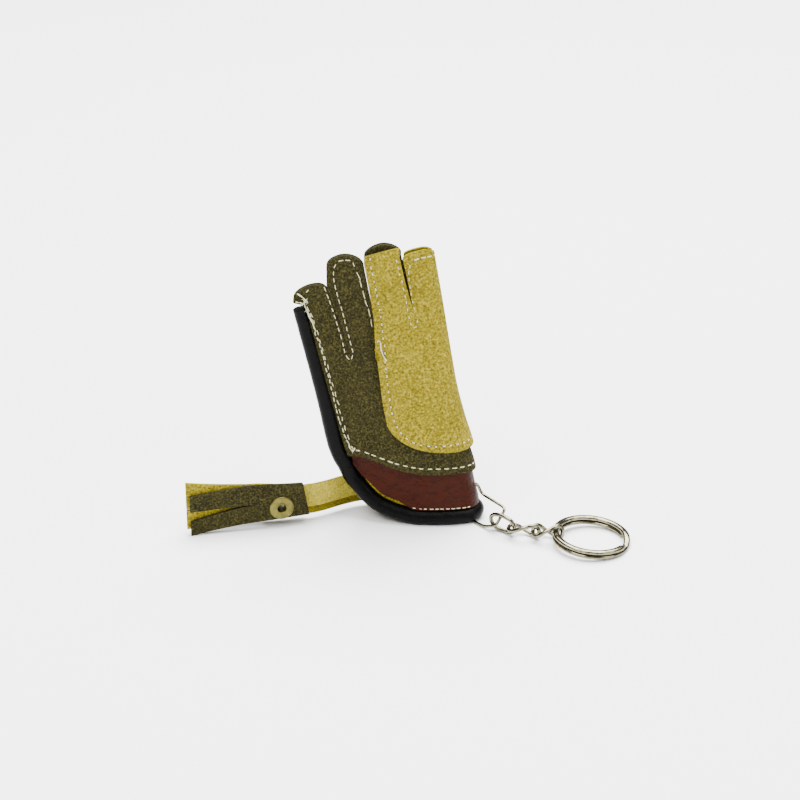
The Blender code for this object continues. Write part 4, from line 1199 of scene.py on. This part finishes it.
def layer_grids(row):
    """Collar, then two strips that spread from it. Each strip bows a little and its end flares by a
    fraction of the gap, more towards its free end."""
    size = sizes()
    layer = named(TASSEL_COLUMNS, row)
    step = size.leather + size.gap
    offset = (2 - layer["place"]) * step
    head = np.linspace(size.strap_length, size.strap_length + size.tassel_head, 20)
    tail = np.linspace(head[-1], head[-1] + size.tassel_fringe * layer["reach"], 44)
    ends = (head - head[0]) / size.tassel_head
    grow = (tail - tail[0]) / (tail[-1] - tail[0])
    collar, root = layer["collar"], layer["root"]
    low, high = (size.tassel_height * (collar[k] + ends * (root[k] - collar[k])) for k in (0, 1))
    middle = (layer["slit"] - root[0]) / (root[1] - root[0])
    half = np.linspace(0, 1, 9)
    shares = np.concatenate([middle * half, middle + (1 - middle) * half[1:]])
    blocks = [upright(head, np.full((20, 17), offset), low, high, shares)]
    blocks[0][..., 0] -= size.collar_slant * (shares[None] - 0.5) * (1 - ends[:, None])
    phase = 1.7 * layer["place"]
    for number, ((start, stop), strip) in enumerate((((root[0], layer["slit"]), layer["lower"]),
                                                     ((layer["slit"], root[1]), layer["upper"]))):
        bottom = size.tassel_height * (start + grow ** 1.4 * (strip[0] - start))
        top = size.tassel_height * (stop + grow ** 1.4 * (strip[1] - stop))
        sway = 0.10 * MM * np.sin(grow * 7 + phase + 2 * number)[:, None] * (grow ** 2)[:, None]
        blocks.append(upright(tail, offset + sway + 0 * half[None], bottom, top, half))
    return blocks


def strap_grid():
    """Closed loop in plan: out along the front layer, round its bend behind the cuff, and back along the
    rear."""
    size = sizes()
    leg = np.linspace(size.strap_length + size.tassel_head * 0.9, 0, 60)
    bend = np.linspace(0, math.pi, 12)[1:-1]
    half = (size.leather + size.gap) / 2
    places = np.concatenate([leg, -half * np.sin(bend), leg[::-1]])
    side = np.concatenate([np.full(60, half), half * np.cos(bend), np.full(60, -half)])
    _, normals = tassel_route(np.maximum(places, 0))
    beyond = np.minimum(places, 0)[:, None] * np.stack([normals[:, 1], -normals[:, 0]], -1)
    low = size.strap_base + size.strap_step - size.strap_step * (1 - side / half) / 2
    grid = upright(np.maximum(places, 0), (side - half)[:, None] + np.zeros(9), low, low + size.strap_width,
                   np.linspace(0, 1, 9))
    grid[..., :2] += beyond[:, None, :]
    return grid


def eyelet_mesh():
    """Turned shape: a profile of radius and height carried round the eyelet's axis. The front rim is a flat
    flange with a rolled inner lip; the rear rim is flat."""
    size = sizes()
    centre, front = eyelet_frame()
    face = 2 * (size.leather + size.gap) + size.leather / 2 + 0.08 * MM
    tube = size.eyelet_hole + size.eyelet_wall
    width = size.eyelet - size.eyelet_hole
    out = np.linspace(0, 1, 26)
    top = smooth(out, (0, 0.10, 0.26, 0.45, 0.86, 0.96, 1), (0.45, 1.0, 0.72, 0.66, 0.60, 0.42, 0.12))
    flange = np.stack([size.eyelet_hole + width * out, face + size.eyelet_rim * top], -1)
    rear = 0.85 * size.eyelet
    under = np.array([(size.eyelet, face), (tube, face), (tube, -face), (rear, -face),
                      (rear, -face - size.eyelet_rim * 0.5), (tube, -face - size.eyelet_rim * 0.6),
                      (size.eyelet_hole, -face - size.eyelet_rim * 0.35)])
    profile = np.concatenate([flange, under])
    turn = np.linspace(0, TAU, 64, endpoint=False)[:, None]
    across = np.array(Vector((0, 0, 1)).cross(front))
    radius = profile[None, :, 0, None]
    out = np.cos(turn)[..., None] * across + np.sin(turn)[..., None] * (0, 0, 1)
    points = np.array(centre) + radius * out + profile[None, :, 1, None] * np.array(front)
    grid = np.concatenate([points, points[:1]]).transpose(1, 0, 2)
    grid = np.concatenate([grid, grid[:1]])
    rows, columns = grid.shape[:2]
    return weld(fill_mesh("rivet_eyelet", grid.reshape(-1, 3), quads(rows, columns)))


def link_centres():
    """Centres of the links, each hooked in the one before with the chain's slack."""
    size = sizes()
    upper, lower = triangle_corners()[2:4]
    centre = lower.lerp(upper, 0.26) + Vector((1.44 * MM, -0.24 * MM, 0))
    hook = size.link_wire + size.slack / 2
    centres = []
    for row in LINKS:
        link = named(LINK_COLUMNS, row)
        half = direction(link["heading"]) * (link["length"] / 2 - hook)
        if centres:
            centre = centre + half
        centres.append(Vector((centre.x, centre.y, link["lift"] * size.link_wire)))
        centre = centre + half
    return centres


def direction(heading):
    heading = math.radians(heading)
    return Vector((math.cos(heading), math.sin(heading), 0))


def link_grid(row, centre):
    """Oval path x = a * cos^p, y = b * sin^p, whose width turns about its length from one roll to the
    other, swept with a round section."""
    size = sizes()
    link = named(LINK_COLUMNS, row)
    angle = np.linspace(0, TAU, 96, endpoint=False)
    bend = link["bend"]
    along = (link["length"] - size.link_wire) / 2 * np.sign(np.cos(angle)) * np.abs(np.cos(angle)) ** bend
    wide = (size.link_width - size.link_wire) / 2 * np.sign(np.sin(angle)) * np.abs(np.sin(angle)) ** bend
    twist = link["right_roll"] - link["left_roll"]
    roll = np.radians(link["left_roll"] + ease((1 + np.cos(angle)) / 2) * twist)
    heading = math.radians(link["heading"])
    x, y = along, wide * np.cos(roll)
    path = np.stack([x * math.cos(heading) - y * math.sin(heading),
                     x * math.sin(heading) + y * math.cos(heading), wide * np.sin(roll)], -1)
    path = dense(path + np.array(centre), 0.25 * MM)
    return sweep(path, np.full(len(path), size.link_wire / 2), 16, closed=True)


def ring_mesh():
    """Flat helix of two turns with a step between them and an oval section, tilted so that its left side
    lies on the last link and its right side on the floor."""
    size = sizes()
    middle = (size.ring - size.ring_band) / 2
    pitch = size.ring_turn + size.ring_gap
    angle = np.linspace(24, 696, 420)
    climb = pitch * ease((angle - 336) / 48)
    turn = np.radians(angle)[:, None]
    around = np.linspace(0, TAU, 20, endpoint=False)[None]
    flat = np.sign(np.sin(around)) * np.abs(np.sin(around)) ** 0.8
    steps = np.arange(len(angle))
    inward = np.clip(np.minimum(steps, steps[::-1]) / 5, 0, 1)
    end = np.sqrt(1 - (1 - inward) ** 2)[:, None]
    radius = middle + size.ring_band / 2 * np.cos(around) * end
    height = climb[:, None] + size.ring_turn / 2 * flat * end
    points = np.stack([radius * np.cos(turn), radius * np.sin(turn), height], -1)
    last, link = link_centres()[-1], named(LINK_COLUMNS, LINKS[-1])
    hook = link["length"] / 2 - size.link_wire - size.ring_band / 2 - size.slack
    tilt = math.asin((last.z - (size.ring_turn + pitch) / 2) / (2 * middle))
    heading = math.radians(link["heading"])
    x = points[..., 0] * math.cos(tilt) + points[..., 2] * math.sin(tilt)
    z = points[..., 2] * math.cos(tilt) - points[..., 0] * math.sin(tilt)
    placed = np.stack([x * math.cos(heading) - points[..., 1] * math.sin(heading),
                       x * math.sin(heading) + points[..., 1] * math.cos(heading), z - z.min()], -1)
    centre = last + direction(link["heading"]) * (hook + middle * math.cos(tilt))
    placed += np.array((centre.x, centre.y, 0))
    return tube_mesh("split_ring", [(placed, False)])


def surface_line(across, height, offset, side):
    """Points of a seam on the leather's outer face, and the directions out of it."""
    z = sizes().height * height
    lower = front_points(across, z, offset)
    outward = front_points(across, z, offset + 1 * MM) - lower
    outward /= np.linalg.norm(outward, axis=-1, keepdims=True)
    flip = (1, side, 1)
    return lower * flip, outward * flip


def plane_line(x, z):
    """Places of a line in the front view, as (across, height)."""
    return np.stack([np.minimum(to_across(x, z), 1), z / sizes().height], -1)


def through(places, count):
    """Smooth line through a few places given in millimetres, evenly spaced along its length."""
    points = np.array(places) * MM
    marks = np.concatenate([[0], np.cumsum(np.linalg.norm(np.diff(points, axis=0), axis=1))])
    even = np.linspace(0, marks[-1], count)
    return np.stack([smooth(even, marks, points[:, k]) for k in range(points.shape[1])], -1)


def hem_seam():
    """Seam above the olive hem."""
    across = np.linspace(0.06, 0.985, 120)
    line = hem_line(across)
    z = sizes().height * line[:, 1]
    return np.stack([to_plane(across, z), z + HEM_SEAM], -1)


def band_seam():
    """Seam that holds the band to the piping, where it isn't free."""
    size = sizes()
    share = np.linspace(BAND_FREE, 0.93, 90)
    line = along_hem(share, size.piping_hem + size.gap + BAND_SEAM)
    z = size.height * line[:, 1]
    return np.stack([to_plane(line[:, 0], z), z], -1)


def stitches(line, offset, side, pitch, cover, seed, wander, thickness):
    """Running stitch along a line in the front view. Each stitch is a short tube that rises from one needle
    hole and dips into the next: height = STITCH_LIFT * sin, radius = thread * (1 - t^6) ** 0.5 towards its
    ends."""
    size = sizes()
    chance = np.random.default_rng(seed)
    places = plane_line(line[:, 0], line[:, 1])
    points, outward = surface_line(places[:, 0], places[:, 1], offset, side)
    runs = np.linalg.norm(np.diff(points, axis=0), axis=1)
    marks = np.concatenate([[0], np.cumsum(runs)])
    count = max(1, int(marks[-1] / pitch))
    starts = (np.arange(count) + 0.15) * marks[-1] / count
    starts = starts + chance.uniform(-0.10, 0.10, count) * pitch
    spans = pitch * cover * chance.uniform(0.85, 1.12, count)
    t = np.linspace(0, 1, 7)
    at = np.clip(starts[:, None] + spans[:, None] * t, 0, marks[-1])
    centre, out = along(points, marks, at), along(outward, marks, at)
    ahead = unit(np.gradient(centre, axis=1))
    across = unit(np.cross(ahead, out))
    out = np.cross(across, ahead)
    swing = chance.uniform(-wander, wander, (count, 2))
    centre = centre + across * (swing[:, :1] + (swing[:, 1:] - swing[:, :1]) * t)[..., None]
    centre = centre + out * (STITCH_LIFT * np.sin(math.pi * t) - 0.10 * MM)[None, :, None]
    radius = size.thread / 2 * thickness * np.sqrt(np.clip(1 - (2 * t - 1) ** 6 * 0.75, 0.1, 1))
    around = np.linspace(0, TAU, 6, endpoint=False)
    ring = np.cos(around)[:, None] * across[:, :, None] + np.sin(around)[:, None] * out[:, :, None]
    grid = centre[:, :, None] + radius[None, :, None, None] * ring
    first, last = centre[:, :1, None], centre[:, -1:, None]
    grid = np.concatenate([np.broadcast_to(first, grid[:, :1].shape), grid,
                           np.broadcast_to(last, grid[:, :1].shape)], axis=1)
    return [(stitch, False) for stitch in grid], (points, outward, marks, starts, spans)


def holes(seam, radius):
    """Painted shade of needle holes at the stitch ends: small flattened dark ovals, sunk into the leather."""
    points, outward, marks, starts, spans = seam
    at = np.clip(np.concatenate([starts, starts + spans]), 0, marks[-1])
    centre, out = along(points, marks, at), along(outward, marks, at)
    ahead = unit(along(points, marks, np.minimum(at + 0.1 * MM, marks[-1])) - centre)
    across = np.cross(ahead, out)
    polar = np.linspace(0, math.pi, 5)
    around = np.linspace(0, TAU, 8, endpoint=False)
    oval = np.cos(around)[:, None] * (1.0, 0, 0) + np.sin(around)[:, None] * (0, 0.7, 0)
    ball = np.sin(polar)[:, None, None] * oval + np.cos(polar)[:, None, None] * (0, 0, 0.35)
    axes = np.stack([ahead, across, out], 1)
    deep = (centre - 0.02 * MM * out)[:, None, None]
    grid = deep + radius * np.einsum("pak,nkc->npac", ball, axes)
    return [(hole, False) for hole in grid]


def skin(leather):
    """Distance of a leather's outer face from the olive leather's middle surface."""
    size = sizes()
    middle = {"olive": 0, "tan": size.leather + size.gap + size.patch_play, "band": -size.leather - size.gap}
    return middle[leather] + size.leather / 2


def loose_threads():
    """Slack threads and knots, each a smooth line through its places, and loose fibres round the two knots:
    bent hairs with a fixed seed that stand a little off the leather."""
    chance = np.random.default_rng(11)
    grids = []
    for row in STRANDS:
        strand = named(STRAND_COLUMNS, row)
        x, z, lift = through(strand["places"], 40).T
        places = plane_line(x, z)
        points, _ = surface_line(places[:, 0], places[:, 1], skin(strand["layer"]) + lift, 1)
        thin = 0.75 + 0.25 * np.sin(np.linspace(0, 9, 40) + len(grids))
        grids.append(sweep(points, strand["radius"] * MM * thin, 8))
    for centre, count, reach in KNOTS:
        for _ in range(count):
            angle, bend = chance.uniform(0, TAU), chance.uniform(-1.6, 1.6)
            t = np.linspace(-0.5, 1, 9)
            turn = angle + bend * t
            span = reach * MM * chance.uniform(0.5, 1.0)
            x = centre[0] * MM + span * np.cumsum(np.cos(turn)) / 9
            z = centre[1] * MM + span * np.cumsum(np.sin(turn)) / 9
            places = plane_line(x, z)
            lift = (0.15 + 0.5 * np.abs(np.sin(2.4 * t + angle))) * MM
            points, _ = surface_line(places[:, 0], places[:, 1], skin("olive") + lift, 1)
            grids.append(sweep(points, np.full(9, chance.uniform(0.05, 0.09) * MM), 5))
    return grids


def seam_set():
    """All rows of stitches by leather: line in the front view, pitch, cover, wander, thickness and size of
    the holes' dark ovals of painted shade."""
    rows = {"olive": [(hem_seam(), 2.6 * MM, 0.70, 0.03 * MM, 0.95, 0.20 * MM)], "tan": [],
            "band": [(band_seam(), 1.75 * MM, 0.78, 0.03 * MM, 0.75, 0.16 * MM)]}
    for row in SEAMS:
        seam = named(SEAM_COLUMNS, row)
        line = through(seam["places"], 240)
        rows[seam["leather"]].append((line, seam["pitch"] * MM, seam["cover"], seam["wander"] * MM,
                                      seam["thread"], seam["hole"] * MM))
    return rows


class GLOVE_OT_shell(bpy.types.Operator):
    """Olive suede sheet with its four fingers, folded at the index finger's side"""

    bl_idname = "glove.shell"
    bl_label = "Olive shell"

    def execute(self, context):
        leathers = (olive_suede, olive_cut_edge)
        leather_wall(piece("olive_shell", shell_mesh(), leathers, ["glove_shell"]))
        return {"FINISHED"}


class GLOVE_OT_patch(bpy.types.Operator):
    """Tan nubuck patch over the index and middle fingers"""

    bl_idname = "glove.patch"
    bl_label = "Tan patch"

    def execute(self, context):
        leathers = (tan_nubuck, tan_cut_edge)
        leather_wall(piece("tan_patch", patch_mesh(), leathers, ["finger_patch"]))
        return {"FINISHED"}


class GLOVE_OT_cuff(bpy.types.Operator):
    """Smooth band of the cuff and the tan strip inside it"""

    bl_idname = "glove.cuff"
    bl_label = "Cuff band and lining"

    def execute(self, context):
        band = grids_mesh("oxblood_band", band_grids())
        leathers = (oxblood_leather, oxblood_leather)
        leather_wall(piece("oxblood_band", band, leathers, ["cuff_band"]))
        lining = grids_mesh("tan_lining", lining_grids())
        leather_wall(piece("tan_lining", lining, (tan_nubuck, tan_cut_edge), ["cuff_lining"]))
        return {"FINISHED"}


class GLOVE_OT_piping(bpy.types.Operator):
    """Padded black roll down the seam and round the hem"""

    bl_idname = "glove.piping"
    bl_label = "Padded piping"

    def execute(self, context):
        size = sizes()
        seam, seam_radius = seam_path(60)
        share = hem_shares(120)
        front, radius = hem_path(share), hem_radius(share)
        back = front[::-1] * (1, -1, 1)
        path = np.concatenate([seam[:-1], front, back[1:]])
        radii = np.concatenate([seam_radius[:-1], radius, np.full(len(radius) - 1, size.piping_hem)])
        grid = roll_grid(path, radii, 620, 36)
        mesh = tube_mesh("black_piping", [(grid, False)])
        obj = piece("black_piping", mesh, (black_leather,), ["edge_piping"])
        return {"FINISHED"}


class GLOVE_OT_tassel(bpy.types.Operator):
    """Strap, tassel layers and eyelet"""

    bl_idname = "glove.tassel"
    bl_label = "Tassel"

    def execute(self, context):
        pairs = {"olive": (olive_suede, olive_cut_edge), "tan": (tan_nubuck, tan_cut_edge)}
        for row in TASSEL_LAYERS:
            layer = named(TASSEL_COLUMNS, row)
            mesh = grids_mesh(layer["name"], layer_grids(row))
            made = piece(layer["name"] + "_leather", mesh, pairs[layer["leather"]],
                         [layer["name"]])
            eyelet_cut(leather_wall(made))
        mesh = grids_mesh("tassel_strap", [strap_grid()])
        leathers = (tan_strap_front_painted_light, tan_cut_edge, tan_strap_rear_painted_shade)
        made = piece("tan_strap", mesh, leathers, ["tassel_strap"])
        # Painted shade and light: the rear layer's faces take the darker copy of the leather, the front
        # layer's the paler one
        rear = np.arange(len(mesh.polygons)) >= len(mesh.polygons) * 0.54
        mesh.polygons.foreach_set("material_index", np.where(rear, 2, 0).astype(np.int32))
        eyelet_cut(leather_wall(made))
        piece("brass_eyelet", eyelet_mesh(), (aged_brass,), ["rivet_eyelet"])
        return {"FINISHED"}


class GLOVE_OT_chain(bpy.types.Operator):
    """Bent wire ring, three chain links and the split ring"""

    bl_idname = "glove.chain"
    bl_label = "Chain and split ring"

    def execute(self, context):
        path = triangle_path()
        wire = sweep(path, np.full(len(path), sizes().triangle_wire / 2), 16, closed=True)
        piece("wire_ring", tube_mesh("wire_ring", [wire]), (nickel_plate,), ["triangle_ring"])
        for number, (row, centre) in enumerate(zip(LINKS, link_centres()), 1):
            mesh = tube_mesh(row[0], [link_grid(row, centre)])
            piece(f"link_{number}", mesh, (nickel_plate,), [row[0]])
        piece("key_ring", ring_mesh(), (nickel_plate,), ["split_ring"])
        return {"FINISHED"}


class GLOVE_OT_stitching(bpy.types.Operator):
    """Running stitches along every seam, painted shade for their needle holes, and the loose threads"""

    bl_idname = "glove.stitching"
    bl_label = "Stitching"

    def execute(self, context):
        # dark collects the needle holes' dark ovals of painted shade
        dark = []
        for leather, seams in seam_set().items():
            grids = []
            for number, (line, pitch, cover, wander, thickness, hole) in enumerate(seams):
                for side in (1, -1):
                    seed = 31 * number + side + 7
                    made, seam = stitches(line, skin(leather), side, pitch, cover, seed, wander, thickness)
                    grids += made
                    dark += holes(seam, hole)
            piece(f"{leather}_stitches", tube_mesh(leather, grids), (cotton_thread,))
        piece("needle_hole_shade_ovals", tube_mesh("needle_hole_shade_ovals", dark), (needle_hole_shade_paint,))
        piece("loose_threads", tube_mesh("loose_threads", loose_threads()), (cotton_thread,))
        return {"FINISHED"}


class GLOVE_OT_stage(bpy.types.Operator):
    """Pale floor, soft studio light and the camera"""

    bl_idname = "glove.stage"
    bl_label = "Stage"

    def execute(self, context):
        scene = context.scene
        bpy.ops.mesh.primitive_plane_add(size=8)
        floor = context.object
        floor.name = "floor"
        floor.data.materials.append(once(pale_table))
        world = bpy.data.worlds.new("soft_studio")
        world.use_nodes = True
        world.node_tree.nodes["Background"].inputs["Color"].default_value = (1, 1, 1, 1)
        world.node_tree.nodes["Background"].inputs["Strength"].default_value = WORLD_LIGHT
        scene.world = world
        target = Vector(origin()) + VIEW_CENTRE
        for name, place, size, power in LIGHTS:
            light = bpy.data.lights.new(name, "AREA")
            light.size = size
            light.energy = power
            lamp = bpy.data.objects.new(name, light)
            lamp.location = target + Vector(place)
            lamp.rotation_euler = Vector(place).to_track_quat("Z", "Y").to_euler()
            scene.collection.objects.link(lamp)
        view = bpy.data.cameras.new("camera")
        view.lens = LENS
        view.sensor_width = SENSOR
        view.clip_start = 0.01
        camera = bpy.data.objects.new("camera", view)
        away = Vector((0, -math.cos(ELEVATION), math.sin(ELEVATION)))
        camera.location = target + away * sizes().distance
        camera.rotation_euler = away.to_track_quat("Z", "Y").to_euler()
        scene.collection.objects.link(camera)
        scene.camera = camera
        return {"FINISHED"}


STEPS = (GLOVE_OT_stage, GLOVE_OT_shell, GLOVE_OT_patch, GLOVE_OT_cuff, GLOVE_OT_piping, GLOVE_OT_tassel,
         GLOVE_OT_chain, GLOVE_OT_stitching)


class GLOVE_PT_panel(bpy.types.Panel):
    """Lists the glove's sizes, colours and pieces"""

    bl_label = "Falconry glove"
    bl_idname = "GLOVE_PT_panel"
    bl_space_type = "VIEW_3D"
    bl_region_type = "UI"
    bl_category = "Glove"

    def draw(self, context):
        for step in STEPS:
            self.layout.operator(step.bl_idname)
        for group in (context.scene.glove_sizes, context.scene.glove_colours):
            box = self.layout.box()
            for name in group.__annotations__:
                box.prop(group, name)


CLASSES = (GloveSizes, GloveColours, *STEPS, GLOVE_PT_panel)


def register():
    for item in CLASSES:
        bpy.utils.register_class(item)
    bpy.types.Scene.glove_sizes = bpy.props.PointerProperty(type=GloveSizes)
    bpy.types.Scene.glove_colours = bpy.props.PointerProperty(type=GloveColours)


def unregister():
    del bpy.types.Scene.glove_colours
    del bpy.types.Scene.glove_sizes
    for item in reversed(CLASSES):
        bpy.utils.unregister_class(item)


def main():
    register()
    bpy.ops.glove.stage()
    bpy.ops.glove.shell()
    bpy.ops.glove.patch()
    bpy.ops.glove.cuff()
    bpy.ops.glove.piping()
    bpy.ops.glove.tassel()
    bpy.ops.glove.chain()
    bpy.ops.glove.stitching()
    bpy.context.view_layer.update()


if __name__ == "__main__":
    main()
